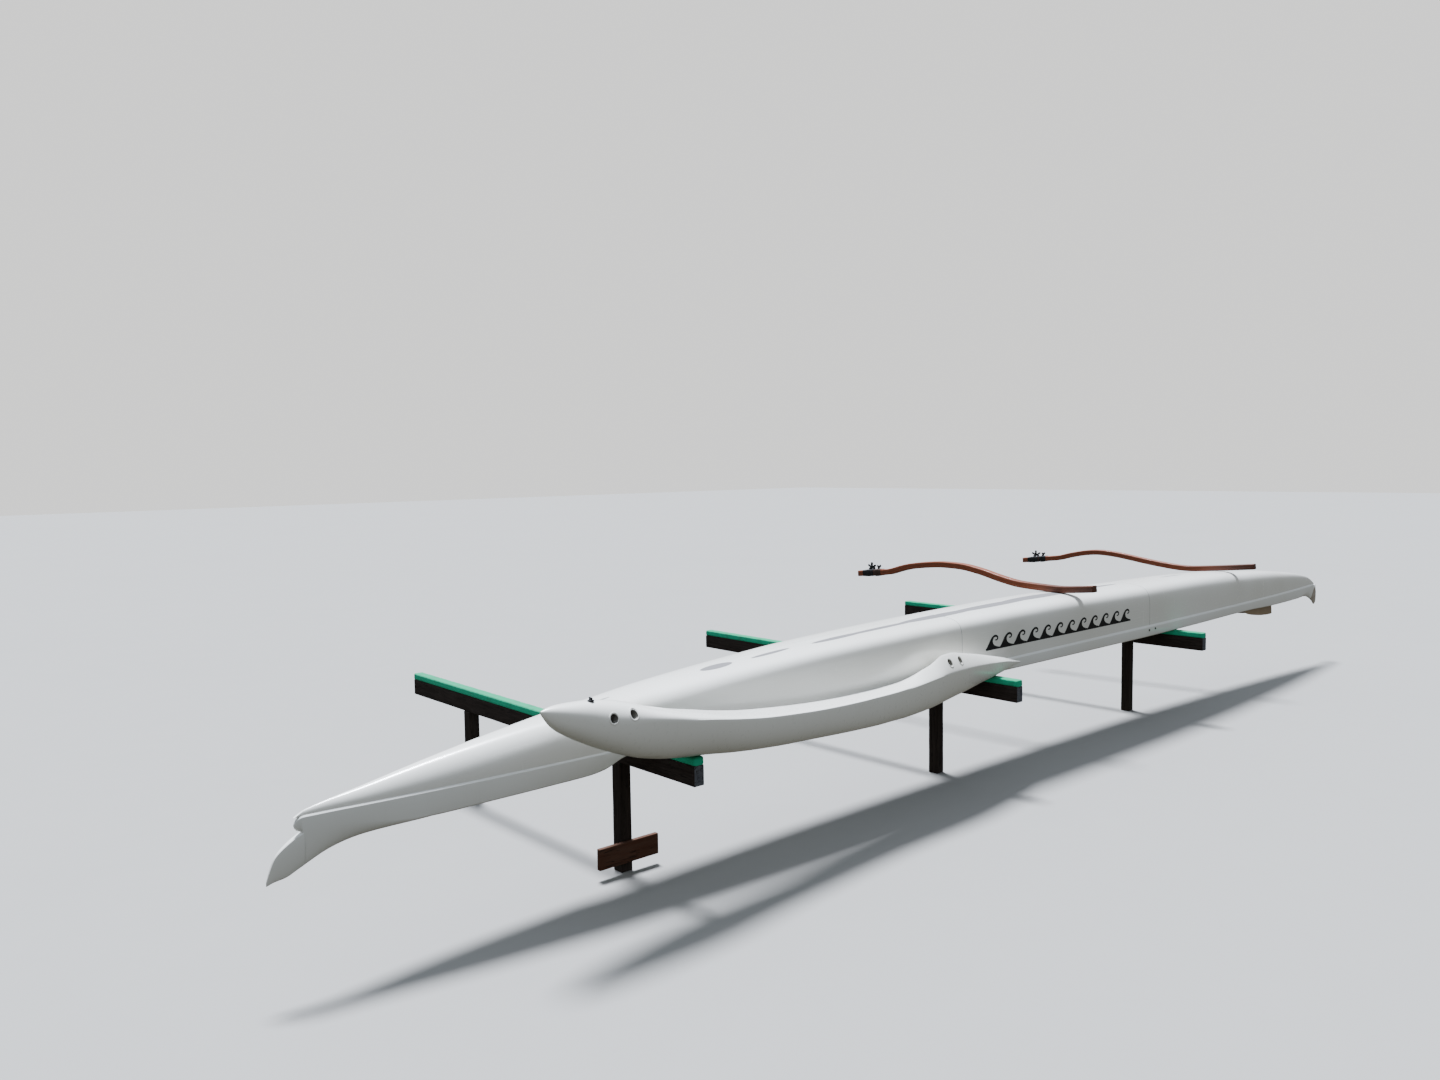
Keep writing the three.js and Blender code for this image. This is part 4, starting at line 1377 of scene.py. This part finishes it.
def bake_modifiers(piece: bpy.types.Object) -> None:
    """Turn a piece's modifiers into plain mesh."""
    bpy.context.view_layer.update()
    graph = bpy.context.evaluated_depsgraph_get()
    final = piece.evaluated_get(graph)
    made = bpy.data.meshes.new_from_object(final, preserve_all_data_layers=True, depsgraph=graph)
    piece.modifiers.clear()
    piece.data = made
    made.name = piece.name


@dataclass
class Boom:
    """One bent, laminated boom with the rubber lashing at its float end."""

    body: Body
    start: tuple[float, float]
    turn: float
    length: float
    rows: tuple[tuple[float, float], ...]
    width: float = 60.0
    height: float = 48.0
    edge: float = 8.0
    old_turns: bool = False
    old_from: float = -175.0
    rise: Fair | None = None
    contact: float = 0.0

    def __post_init__(self) -> None:
        """Fair the bend and find the height at which the boom just clears the hull."""
        data = np.asarray(self.rows, dtype=float)
        self.rise = Fair(data[:, 0], data[:, 1], 30.0)
        crest = float(self.rise(np.linspace(0, self.length, 120)).max()) + self.height / 2
        self.contact = 1000.0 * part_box(self.body.value)[1][2] - crest

    @property
    def along(self) -> tuple[float, float]:
        """Return the boom's direction in plan."""
        size = math.hypot(self.turn, 1.0)
        return self.turn / size, 1.0 / size

    def frame_at(self, s: float) -> tuple[Points, Points, Points, Points]:
        """Centre and the along, across and up directions at a distance from the hull end."""
        ax, ay = self.along
        near_end = s < 6 or s > self.length - 6
        at = min(max(s, 8.0), self.length - 8.0) if near_end else s
        slope = math.atan2(float(self.rise(at + 6)) - float(self.rise(at - 6)), 12.0)
        height = self.contact + float(self.rise(s))
        centre = np.array([self.start[0] + ax * s, self.start[1] + ay * s, height])
        forward = np.array([ax * math.cos(slope), ay * math.cos(slope), math.sin(slope)])
        across = np.array([ay, -ax, 0.0])
        up = np.cross(across, forward)
        return centre, forward, across, up

    def outline(self, grow: float, edge: float, turns: int = 6) -> Points:
        """Rounded section of the boom, grown by a margin."""
        return rounded(self.width / 2 + grow, self.height / 2 + grow, edge + grow, turns)

    def bar(self) -> bpy.types.Object:
        """Make the bent bar and store each point's place in the laminate on it."""
        ends = (0.0, 1.2, 3.0)
        marks = [*ends, *np.linspace(6, self.length - 6, 150), *(self.length - e for e in reversed(ends))]
        rings, lays = [], []
        for s in marks:
            near_end = min(s, self.length - s)
            tuck = 2.2 * (1 - min(near_end / 3.0, 1.0)) ** 2
            centre, _, across, up = self.frame_at(s)
            section = self.outline(-tuck, self.edge)
            rings.append(np.array([centre + a * across + b * up for a, b in section]))
            lays += [(s / 1000, a / 1000, b / 1000 + 0.5) for a, b in section]
        points, faces = skin(rings)
        for s in (0.0, self.length):
            lays.append((s / 1000, 0.0, 0.5))
        name = f"{self.body.value}_bar"
        bar = mesh_piece(name, place(points), faces, (BOOM_WOOD,), None, 35.0)
        store = bar.data.attributes.new("lay", "FLOAT_VECTOR", "POINT")
        store.data.foreach_set("vector", np.array(lays, dtype=np.float32).ravel())
        return bar

    def wraps(self) -> bpy.types.Object:
        """Make the turns of flat rubber strap, each lying across the one before."""
        # The strap's section, then how far back, how wide, how high and how slanted each turn is.
        strap = (
            (-0.5, 0.2), (-0.46, 1.6), (-0.2, 2.4), (0.2, 2.2),
            (0.46, 1.5), (0.5, 0.2), (0.3, -0.2), (-0.3, -0.2),
        )
        turns = (
            (-72, 36, 1.2, 0.10), (-100, 38, 2.8, -0.16), (-130, 36, 1.6, 0.12), (-158, 34, 3.4, -0.10),
            (-114, 32, 5.0, 0.22), (-190, 38, 2.2, 0.14), (-222, 38, 3.4, -0.12), (-206, 34, 6.0, 0.20),
            (-240, 26, 1.4, -0.08),
        )
        parts = []
        which: list[int] = []
        for back, wide, lift, lean in turns:
            rings = []
            section = self.outline(0.0, 9.0, 5)
            for k, (a, b) in enumerate(section):
                size = math.hypot(a, b)
                skew = lean * a
                centre, forward, across, up = self.frame_at(self.length + back + skew)
                ripple = 0.5 * math.sin(3.1 * k + back)
                out = (a * across + b * up) / size
                base = centre + a * across + b * up
                ring = []
                for w, t in strap:
                    ring.append(base + forward * w * wide + out * (t + lift + ripple * 0.4))
                rings.append(np.array(ring))
            parts.append(looped(rings))
            which += [int(self.old_turns and back < self.old_from)] * len(parts[-1][1])
        points, faces = gathered(parts)
        name = f"{self.body.value}_wraps"
        return mesh_piece(name, place(points), faces, (RUBBER, OLD_RUBBER), which, 45.0)

    def tails(self) -> bpy.types.Object:
        """Make the knot on top with its short ends of strap."""
        centre, forward, across, up = self.frame_at(self.length - 140)
        top = centre + up * (self.height / 2 + 9)
        parts = []
        # Five points of each strand, along, across and up from the knot, and its breadth.
        strands = (
            ((-26, -12, 2), (-14, -4, 13), (0, 0, 18), (14, 4, 13), (26, 12, 2), 22.0),
            ((-20, 12, 2), (-10, 4, 15), (2, -2, 20), (12, -6, 12), (22, -14, 2), 20.0),
            ((0, 0, 8), (3, 2, 22), (4, 3, 36), (3, 3, 49), (1, 4, 60), 19.0),
            ((6, 0, 8), (16, 2, 20), (27, 4, 30), (37, 6, 36), (48, 8, 38), 17.0),
            ((-6, 0, 8), (-17, -2, 19), (-28, -4, 27), (-39, -6, 31), (-50, -8, 31), 17.0),
            ((-62, 2, 2), (-72, 2, 12), (-81, 3, 20), (-88, 3, 27), (-94, 4, 32), 17.0),
            ((-78, -8, 2), (-80, -10, 12), (-79, -12, 20), (-75, -13, 27), (-69, -14, 32), 15.0),
        )
        for *knots, wide in strands:
            line = np.array(knots, dtype=float)
            t = np.linspace(0, 4, 25)
            path = np.stack([Fair(np.arange(5) * 100, line[:, k], 25.0)(t * 100) for k in range(3)], axis=1)
            rings = []
            for k, (f, a, u) in enumerate(path):
                at = top + forward * f + across * a + up * (u - 6)
                step = path[min(k + 1, 24)] - path[max(k - 1, 0)]
                run = forward * step[0] + across * step[1] + up * step[2]
                run = run / np.linalg.norm(run)
                flat = np.cross(run, across + 0.25 * forward)
                flat = flat / max(np.linalg.norm(flat), 1e-6)
                face = np.cross(run, flat)
                curl = 0.6 + 0.4 * math.sin(0.7 * k + wide)
                ring = []
                for w, h in ((-0.5, -1), (-0.5, 1), (0.0, 1 + curl), (0.5, 1), (0.5, -1), (0.0, -1 + curl)):
                    ring.append(at + flat * w * wide + face * h * 1.3)
                rings.append(np.array(ring))
            parts.append(skin(rings))
        points, faces = gathered(parts)
        return mesh_piece(f"{self.body.value}_knot", place(points), faces, (RUBBER,), None, 50.0)

    def build(self) -> None:
        """Make the boom's pieces."""
        end = self.body.value.split("_")[1]
        carried(self.bar(), self.body, [self.body.value])
        carried(self.wraps(), self.body, [f"lashing_{end}"])
        carried(self.tails(), self.body)


BOOMS = (
    Boom(
        Body.BOOM_REAR,
        (3750.0, -330.0),
        0.0,
        2182.0,
        (
            (0, 23), (130, 10), (270, 0), (440, 5), (610, 15), (780, 46), (960, 89), (1150, 116),
            (1300, 119), (1440, 109), (1640, 82), (1750, 54), (1850, 25), (1960, 13), (2070, 3),
            (2182, -10),
        ),
        old_turns=True,
    ),
    Boom(
        Body.BOOM_FRONT,
        (6480.0, -295.0),
        -0.08,
        2206.0,
        (
            (0, 28), (293, 0), (470, -14), (560, -19), (650, -15), (740, -5), (830, 7), (1015, 37),
            (1210, 71), (1310, 83), (1410, 89), (1500, 84), (1610, 66), (1710, 45), (1815, 16),
            (1920, 4), (2030, -7), (2206, -27),
        ),
    ),
)


@dataclass
class Rack:
    """Three trestles of sawn timber: posts, beams and carpeted pads, and the foot board."""

    xs: tuple[float, ...] = (0.0, 2580.0, 5160.0)
    near_posts: tuple[float, ...] = (180.0, 155.0, 172.0)
    beam_ends: tuple[float, ...] = (-445.0, -491.0, -465.0)
    far_post: float = 1760.0
    far_end: float = 2490.0
    post: float = 70.0
    beam: tuple[float, float, float] = (62.0, 575.0, 675.0)
    pad: tuple[float, float] = (66.0, 715.7)
    board: tuple[float, float, float, float] = (372.0, 55.0, 165.0, 25.0)
    gap: float = 0.3
    quarters: tuple[float, ...] = (0.25, 0.5, 0.75)

    def baulk(
        self,
        name: str,
        low: Sequence[float],
        high: Sequence[float],
        run: int,
        finishes: Sequence[Finish],
        arris: float = 3.0,
        seed: int = 0,
    ) -> bpy.types.Object:
        """Make a sawn length of timber with worn corners and slightly wandering faces.

        Args:
            name: The piece's name.
            low: Lowest corner.
            high: Highest corner.
            run: Axis of its length: 0, 1 or 2.
            finishes: The finish of its sides and, where there are two, of its ends.
            arris: Wear of its corners.
            seed: Number that sets how its faces wander.

        Returns:
            The piece.
        """
        low_corner, high_corner = np.array(low, dtype=float), np.array(high, dtype=float)
        length = high_corner[run] - low_corner[run]
        u, v = [k for k in range(3) if k != run]
        centre = (low_corner + high_corner) / 2
        half_u, half_v = (high_corner[u] - low_corner[u]) / 2, (high_corner[v] - low_corner[v]) / 2
        ends = (0, 0.6, 1.8, 4, 9)
        between = np.linspace(18, length - 18, max(4, int(length / 22)))
        marks = [*ends, *between, *(length - e for e in reversed(ends))]
        rng = np.random.default_rng(seed)
        phases = rng.uniform(0, 2 * math.pi, (4, 3))
        sides = rounded(half_u, half_v, arris, 3, self.quarters)
        rings = []
        for s in marks:
            near = min(s, length - s)
            tuck = 1.6 * (1 - min(near / 4.0, 1.0)) ** 2
            drift = [
                0.35 + sum(math.sin(s * w + phases[k][j]) for j, w in enumerate((0.004, 0.011, 0.031))) * 0.22
                for k in range(4)
            ]
            ring = []
            for a, b in sides:
                wear_u = drift[0] if a > 0 else drift[1]
                wear_v = drift[2] if b > 0 else drift[3]
                share_u, share_v = abs(a) / half_u, abs(b) / half_v
                point = np.zeros(3)
                point[run] = low_corner[run] + s
                point[u] = centre[u] + math.copysign(max(abs(a) - share_u * (tuck + max(wear_u, 0)), 0), a)
                point[v] = centre[v] + math.copysign(max(abs(b) - share_v * (tuck + max(wear_v, 0)), 0), b)
                ring.append(point)
            rings.append(np.array(ring))
        points, faces = skin(rings)
        count = len(sides)
        which = [0] * (len(faces) - 2 * count) + [len(finishes) - 1] * (2 * count)
        return mesh_piece(name, place(points), faces, finishes, which, 40.0)

    def pad_strip(self, name: str, x: float, start: float, seed: int) -> bpy.types.Object:
        """Make a carpeted batten with rounded edges and an uneven nap."""
        low, high = self.beam[2] + 0.4, self.pad[1]
        rng = np.random.default_rng(seed)
        phase = rng.uniform(0, 2 * math.pi, 6)
        length = self.far_end - start
        ends = (0, 1, 3, 6, 10, 16)
        between = np.linspace(26, length - 26, int(length / 9))
        marks = [*ends, *between, *(length - e for e in reversed(ends))]
        half = self.pad[0] / 2
        outline = rounded(half, (high - low) / 2, 9.0, 6, self.quarters)
        rings = []
        for s in marks:
            near = min(s, length - s)
            round_off = 7.0 * (1 - math.sqrt(max(1 - (1 - min(near / 10.0, 1.0)) ** 2, 0)))
            ring = []
            for a, b in outline:
                tall = (b + (high - low) / 2) / (high - low)
                pull = 0.9 * math.sin(s * 0.035 + phase[0]) + 0.7 * math.sin(s * 0.11 + phase[1])
                tuft = 0.35 * math.sin(s * 0.61 + phase[2] + a * 0.4)
                side = a / half
                uneven = (1.6 + 0.5 * pull + 0.5 * tuft) * (0.35 + 0.65 * tall)
                across = a * (1 - round_off / half) - side * uneven
                up = low + (high - low) * tall
                if tall > 0.6:
                    up -= (tall - 0.6) / 0.4 * (round_off + max(0.0, 0.5 + 0.5 * pull) * side * side * 1.4)
                ring.append((x + across, start + s, up))
            rings.append(np.array(ring))
        points, faces = skin(rings)
        return mesh_piece(name, place(points), faces, (PAD_CLOTH,), None, 60.0)

    def build(self) -> None:
        """Make the trestles and the foot board."""
        wide, low, high = self.beam
        half = self.post / 2
        for i, x in enumerate(self.xs):
            n = i + 1
            for side, y in (("near", self.near_posts[i]), ("far", self.far_post)):
                corners = ((x - half, y - half, 0), (x + half, y + half, low - self.gap))
                node = f"post_{side}_{n}"
                post = self.baulk(f"{node}_timber", *corners, 2, (POST_WOOD,), 4.0, 10 * n + len(side))
                carried(post, Body.ROOT, [node])
            corners = ((x - wide / 2, self.beam_ends[i], low), (x + wide / 2, self.far_end, high))
            beam = self.baulk(f"beam_{n}_timber", *corners, 1, (BEAM_WOOD, END_GRAIN), 3.0, 50 + n)
            carried(beam, Body.ROOT, [f"beam_{n}"])
            pad = self.pad_strip(f"pad_{n}_cover", x, self.beam_ends[i] + 0.2, 70 + n)
            carried(pad, Body.ROOT, [f"pad_{n}", f"pad_free_{n}"])
        length, board_low, board_high, thick = self.board
        y = self.near_posts[0] - half - self.gap
        corners = ((-length / 2, y - thick, board_low), (length / 2, y, board_high))
        board = self.baulk("foot_board_timber", *corners, 0, (BOARD_WOOD,), 2.5, 90)
        carried(board, Body.ROOT, ["foot_board"])


class Repeats:
    """Small fastenings set along paths by Geometry Nodes."""

    def __init__(self, name: str, finish: Finish) -> None:
        """Start a node tree.

        Args:
            name: The tree's name.
            finish: The finish of every copy.
        """
        self.tree = bpy.data.node_groups.new(name, "GeometryNodeTree")
        self.graph = Graph(self.tree)
        self.finish = finish
        face = self.tree.interface
        face.new_socket("Places", in_out="INPUT", socket_type="NodeSocketGeometry")
        self.sizes = {
            key: face.new_socket(key, in_out="INPUT", socket_type="NodeSocketFloat").identifier
            for key in ("Head", "Washer", "Height")
        }
        face.new_socket("Made", in_out="OUTPUT", socket_type="NodeSocketGeometry")
        self._bolt()

    def _bolt(self) -> None:
        """Build the tree: a hexagon head on a washer at each place, turned to its normal."""
        g = self.graph
        given = g.node("NodeGroupInput").outputs
        inputs = {"Vertices": 6, "Radius": given["Head"], "Depth": given["Height"]}
        head = g.node("GeometryNodeMeshCylinder", None, inputs)
        inputs = {"Vertices": 20, "Radius": given["Washer"], "Depth": 0.0022}
        washer = g.node("GeometryNodeMeshCylinder", None, inputs)
        half = g.node("ShaderNodeMath", {"operation": "MULTIPLY"}, {0: given["Height"], 1: 0.5})
        lift = g.node("ShaderNodeCombineXYZ", None, {"Z": half.outputs[0]})
        inputs = {"Geometry": head.outputs["Mesh"], "Translation": lift.outputs[0]}
        raised = g.node("GeometryNodeTransform", None, inputs)
        joined = g.node("GeometryNodeJoinGeometry")
        for made in (raised.outputs[0], washer.outputs["Mesh"]):
            g.tree.links.new(made, joined.inputs[0])
        settings = {"data_type": "FLOAT_VECTOR"}
        normal = g.node("GeometryNodeInputNamedAttribute", settings, {"Name": "outwards"})
        inputs = {"Vector": normal.outputs["Attribute"]}
        turned = g.node("FunctionNodeAlignRotationToVector", {"axis": "Z"}, inputs)
        spin = g.node("FunctionNodeRandomValue", {"data_type": "FLOAT"}, {2: 0.0, 3: 1.0, "Seed": 7})
        inputs = {"Axis": (0, 0, 1), "Angle": spin.outputs[1]}
        local = g.node("FunctionNodeAxisAngleToRotation", None, inputs)
        inputs = {0: turned.outputs[0], 1: local.outputs[0]}
        whole = g.node("FunctionNodeRotateRotation", {"rotation_space": "LOCAL"}, inputs)
        inputs = {"Points": given["Places"], "Instance": joined.outputs[0], "Rotation": whole.outputs[0]}
        copies = g.node("GeometryNodeInstanceOnPoints", None, inputs)
        real = g.node("GeometryNodeRealizeInstances", None, {"Geometry": copies.outputs[0]})
        inputs = {"Geometry": real.outputs[0], "Material": self.finish.material()}
        dressed = g.node("GeometryNodeSetMaterial", None, inputs)
        g.node("NodeGroupOutput", None, {"Made": dressed.outputs[0]})

    def along(
        self,
        name: str,
        places: Sequence[Sequence[float]],
        outwards: Sequence[Sequence[float]],
        sizes: dict[str, float],
    ) -> bpy.types.Object:
        """Set the fastenings at the places and return them as plain mesh.

        Args:
            name: The piece's name.
            places: Points in millimetres.
            outwards: The direction that each one faces.
            sizes: Sizes of the parts in metres, by the tree's input names.

        Returns:
            The piece.
        """
        mesh = bpy.data.meshes.new(name)
        mesh.from_pydata([tuple(p) for p in place(places)], [], [])
        store = mesh.attributes.new("outwards", "FLOAT_VECTOR", "POINT")
        store.data.foreach_set("vector", np.array(outwards, dtype=np.float32).ravel())
        piece = bpy.data.objects.new(name, mesh)
        bpy.context.scene.collection.objects.link(piece)
        maker = piece.modifiers.new("fastenings", "NODES")
        maker.node_group = self.tree
        for key, size in sizes.items():
            maker[self.sizes[key]] = size
        bake_modifiers(piece)
        piece.data.set_sharp_from_angle(angle=math.radians(30))
        return piece


@dataclass
class Fittings:
    """What is inside the hull and what holds it together."""

    seams: tuple[float, float] = (HullSkins.seam_aft, HullSkins.seam_fore)
    frame_thick: float = 22.0
    frame_depth: float = 42.0
    bolt_count: int = 9
    guard_ends: tuple[float, float] = (6640.0, 7570.0)
    guard_depth: float = 100.0
    guard_wall: float = 7.0
    guard_edge: float = 3.4
    guard_inset: float = 18.0
    guard_least: float = 8.0
    guard_prow: float = 0.12
    band_bolt_places: tuple[tuple[float, float], ...] = ((-28.0, 34.0), (70.0, 30.0))

    def frame_bolts(self, bolts: Repeats, name: str, seam: float) -> bpy.types.Object:
        """Set the bolts round both faces of one pair of joint frames."""
        places, outwards = [], []
        for way in (-1, 1):
            x = seam + way * (self.frame_thick + 0.4)
            arc = HULL.arc(x, HULL.wall + self.frame_depth / 2, self.bolt_count)
            for p in arc:
                places.append((x, p[1], p[2]))
                outwards.append((way, 0, 0))
        return bolts.along(name, places, outwards, {"Head": 0.0075, "Washer": 0.011, "Height": 0.006})

    def band_bolts(self, bolts: Repeats) -> bpy.types.Object:
        """Set the small bolts through the band beside the seams."""
        places, outwards = [], []
        for seam in self.seams:
            for side in Side:
                for ahead, drop in self.band_bolt_places:
                    x = seam + ahead
                    half = float(HULL.at("half", x))
                    places.append((x, side.value * (half + 0.4), float(HULL.at("ledge", x)) - drop))
                    outwards.append((0, side.value, 0))
        sizes = {"Head": 0.0065, "Washer": 0.0095, "Height": 0.004}
        return bolts.along("band_bolts", places, outwards, sizes)

    def splash_guard(self) -> bpy.types.Object:
        """Make the V-shaped guard: a bent plate whose free edge is a lens with rounded ends."""
        t = np.linspace(-1, 1, 81)
        away = np.abs(t)
        x = self.guard_ends[1] - (self.guard_ends[1] - self.guard_ends[0]) * away**1.6
        y = t * (float(HULL.at("half", self.guard_ends[0])) - self.guard_inset)
        root = np.array([float(HULL.at("sheer", v)) for v in x]) - 1.0
        bulge = np.sqrt(1 - np.clip((away - self.guard_prow) / (1 - self.guard_prow), 0, 1) ** 1.7)
        prow = 1 - 0.34 * np.clip(1 - away / self.guard_prow, 0, 1) ** 2
        depth = self.guard_least + (self.guard_depth - self.guard_least) * bulge * prow
        rings = []
        for k in range(len(t)):
            rake = 0.12 * depth[k]
            edge = self.guard_edge
            low = root[k] - depth[k]
            back = self.guard_wall * (1.2 + away[k])
            front = [(0, root[k]), (rake, low + edge), (rake - 0.3 * edge, low + 0.3 * edge)]
            rear = [(rake - back + edge, low), (rake - back, low + edge), (-back, root[k])]
            ring = [*front, (rake - edge, low), *rear]
            rings.append(np.array([(x[k] + dx, y[k], z) for dx, z in ring]))
        points, faces = skin(rings)
        return mesh_piece("splash_guard_plate", place(points), faces, (GUARD_PLASTIC,), None, 50.0)

    def build(self) -> None:
        """Dress the inside and set the bolts."""
        inside = [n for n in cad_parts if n.startswith(("seat_", "joint_frame_", "bulkhead_"))]
        dress(inside, INSIDE)
        dress([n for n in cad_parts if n.startswith("spreader_")], BAR_WOOD)
        carried(self.splash_guard(), Body.ROOT, ["splash_guard"])
        bolts = Repeats("bolts", STEEL)
        for name, seam in zip(("joint_bolts_aft", "joint_bolts_fore"), self.seams, strict=True):
            carried(self.frame_bolts(bolts, name, seam), Body.ROOT)
        carried(self.band_bolts(bolts), Body.ROOT)


@dataclass
class WaveBand:
    """A plain running-wave border cut from black vinyl, one on each side of the middle."""

    start: float = 2575.0
    pitch: float = 154.0
    waves: int = 12
    low: float = 880.0
    tall: float = 84.0
    strip: float = 0.13
    thick: float = 0.5

    def crest(self) -> Outline:
        """Outline of one wave, with the length and height of its cell as 1."""
        outer = [
            (0.00, 0.00), (0.10, 0.16), (0.20, 0.38), (0.30, 0.62), (0.42, 0.84), (0.56, 0.97), (0.70, 1.00),
            (0.82, 0.93), (0.89, 0.79), (0.88, 0.64), (0.80, 0.54), (0.70, 0.53), (0.64, 0.60),
        ]
        inner = [
            (0.69, 0.64), (0.75, 0.63), (0.80, 0.70), (0.77, 0.79), (0.68, 0.83), (0.58, 0.78), (0.51, 0.66),
            (0.49, 0.50), (0.52, 0.34), (0.62, 0.19), (0.78, 0.08), (1.00, 0.00),
        ]
        base = [(1.0 - k / 6, -self.strip) for k in range(7)]
        return outer + inner + base

    def build(self) -> None:
        """Cut the waves and lay them on the hull's sides."""
        for side in Side:
            parts = []
            for k in range(self.waves):
                corners, triangles = self._fill([Vector((u, v, 0)) for u, v in self.crest()])
                laid = []
                for u, v in corners:
                    x = self.start + self.pitch * (k + u)
                    laid.append(HULL.outside(x, self.low + self.tall * v, side, self.thick))
                parts.append((np.array(laid), triangles))
            points, faces = gathered(parts)
            name = f"wave_band_{side.name.lower()}"
            carried(mesh_piece(name, place(points), faces, (VINYL,), None, 60.0), Body.ROOT)

    @staticmethod
    def _fill(outline: Sequence[Vector]) -> tuple[Outline, Faces]:
        """Triangulate an outline and cut it finely enough to follow the hull."""
        work = bmesh.new()
        corners = [work.verts.new(p) for p in outline]
        work.faces.new(corners)
        bmesh.ops.triangulate(work, faces=work.faces)
        bmesh.ops.subdivide_edges(work, edges=work.edges, cuts=1, use_grid_fill=True)
        work.verts.index_update()
        points = [(v.co.x, v.co.y) for v in work.verts]
        faces = [tuple(v.index for v in f.verts) for f in work.faces]
        work.free()
        return points, faces


@dataclass
class Studio:
    """Floor, soft lights and the camera at the photograph's viewing angle."""

    eye: tuple[float, float, float] = (-6.621438, -5.243081, 2.085927)
    yaw: float = 0.8515203
    pitch: float = -0.0699577
    roll: float = -0.0145365
    focal_pixels: float = 1079.49538
    frame_width: float = 1440.0
    sensor: float = 36.0
    sun: float = 13.0
    sun_spread: float = 13.0
    sun_from: tuple[float, float, float] = (0.10, 0.28, 0.95)
    sky: tuple[tuple[float, Colour], ...] = (
        (0.0, (0.085, 0.085, 0.066, 1)),
        (0.49, (0.27, 0.27, 0.245, 1)),
        (0.53, (0.355, 0.35, 0.33, 1)),
        (0.70, (0.47, 0.51, 0.555, 1)),
        (1.0, (0.86, 0.99, 1.14, 1)),
    )
    sky_strength: float = 1.0
    backdrop: Colour = (1.20, 1.20, 1.19, 1)

    def camera(self) -> None:
        """Make the camera."""
        data = bpy.data.cameras.new("view")
        data.sensor_fit = "HORIZONTAL"
        data.sensor_width = self.sensor
        data.lens = self.focal_pixels / self.frame_width * self.sensor
        data.clip_end = 200.0
        camera = bpy.data.objects.new("view", data)
        bpy.context.scene.collection.objects.link(camera)
        ahead = Vector(
            (
                math.cos(self.pitch) * math.cos(self.yaw),
                math.cos(self.pitch) * math.sin(self.yaw),
                math.sin(self.pitch),
            )
        )
        right = Vector((math.sin(self.yaw), -math.cos(self.yaw), 0.0))
        up = right.cross(ahead)
        right_turned = math.cos(self.roll) * right + math.sin(self.roll) * up
        up_turned = -math.sin(self.roll) * right + math.cos(self.roll) * up
        turn = Matrix((right_turned, up_turned, -ahead)).transposed().to_4x4()
        camera.matrix_world = Matrix.Translation(Vector(self.eye)) @ turn
        bpy.context.scene.camera = camera

    def floor(self) -> None:
        """Make the pale floor, which throws no light back up."""
        reach = 60.0
        points = [(-reach, -reach, 0), (reach, -reach, 0), (reach, reach, 0), (-reach, reach, 0)]
        ground = mesh_piece("floor", points, [(0, 1, 2, 3)], (PALE_FLOOR,), None, None)
        ground.visible_diffuse = ground.visible_glossy = False

    def lights(self) -> None:
        """Make a broad soft light from behind and above, and a sky that is brightest overhead."""
        data = bpy.data.lights.new("soft_sun", "SUN")
        data.energy, data.angle, data.color = self.sun, math.radians(self.sun_spread), (0.93, 0.98, 1.08)
        lamp = bpy.data.objects.new("soft_sun", data)
        lamp.rotation_euler = (-Vector(self.sun_from)).to_track_quat("-Z", "Y").to_euler()
        bpy.context.scene.collection.objects.link(lamp)
        world = bpy.data.worlds.new("soft_surrounding")
        world.use_nodes = True
        graph = Graph(world.node_tree)
        up = graph.axis(graph.value("ShaderNodeTexCoord", None, {}, "Generated"), "Z")
        sky = graph.ramp(up * 0.5 + 0.5, self.sky)
        lit = graph.node("ShaderNodeBackground", None, {"Color": sky, "Strength": self.sky_strength})
        seen = graph.node("ShaderNodeBackground", None, {"Color": self.backdrop, "Strength": 1.0})
        ray = graph.value("ShaderNodeLightPath", None, {}, "Is Camera Ray")
        mixed = graph.node("ShaderNodeMixShader", None, {0: ray, 1: lit.outputs[0], 2: seen.outputs[0]})
        graph.node("ShaderNodeOutputWorld", None, {"Surface": mixed.outputs[0]})
        bpy.context.scene.world = world

    def build(self) -> None:
        """Make the studio."""
        self.camera()
        self.floor()
        self.lights()


def main() -> None:
    """Build the studio and every sub-assembly in order."""
    logging.basicConfig(level=logging.INFO, format="%(name)s: %(message)s")
    Studio().build()
    HullSkins().build()
    Decks().build()
    Float().build()
    for boom in BOOMS:
        boom.build()
    Rack().build()
    Fittings().build()
    WaveBand().build()


if __name__ == "__main__":
    main()
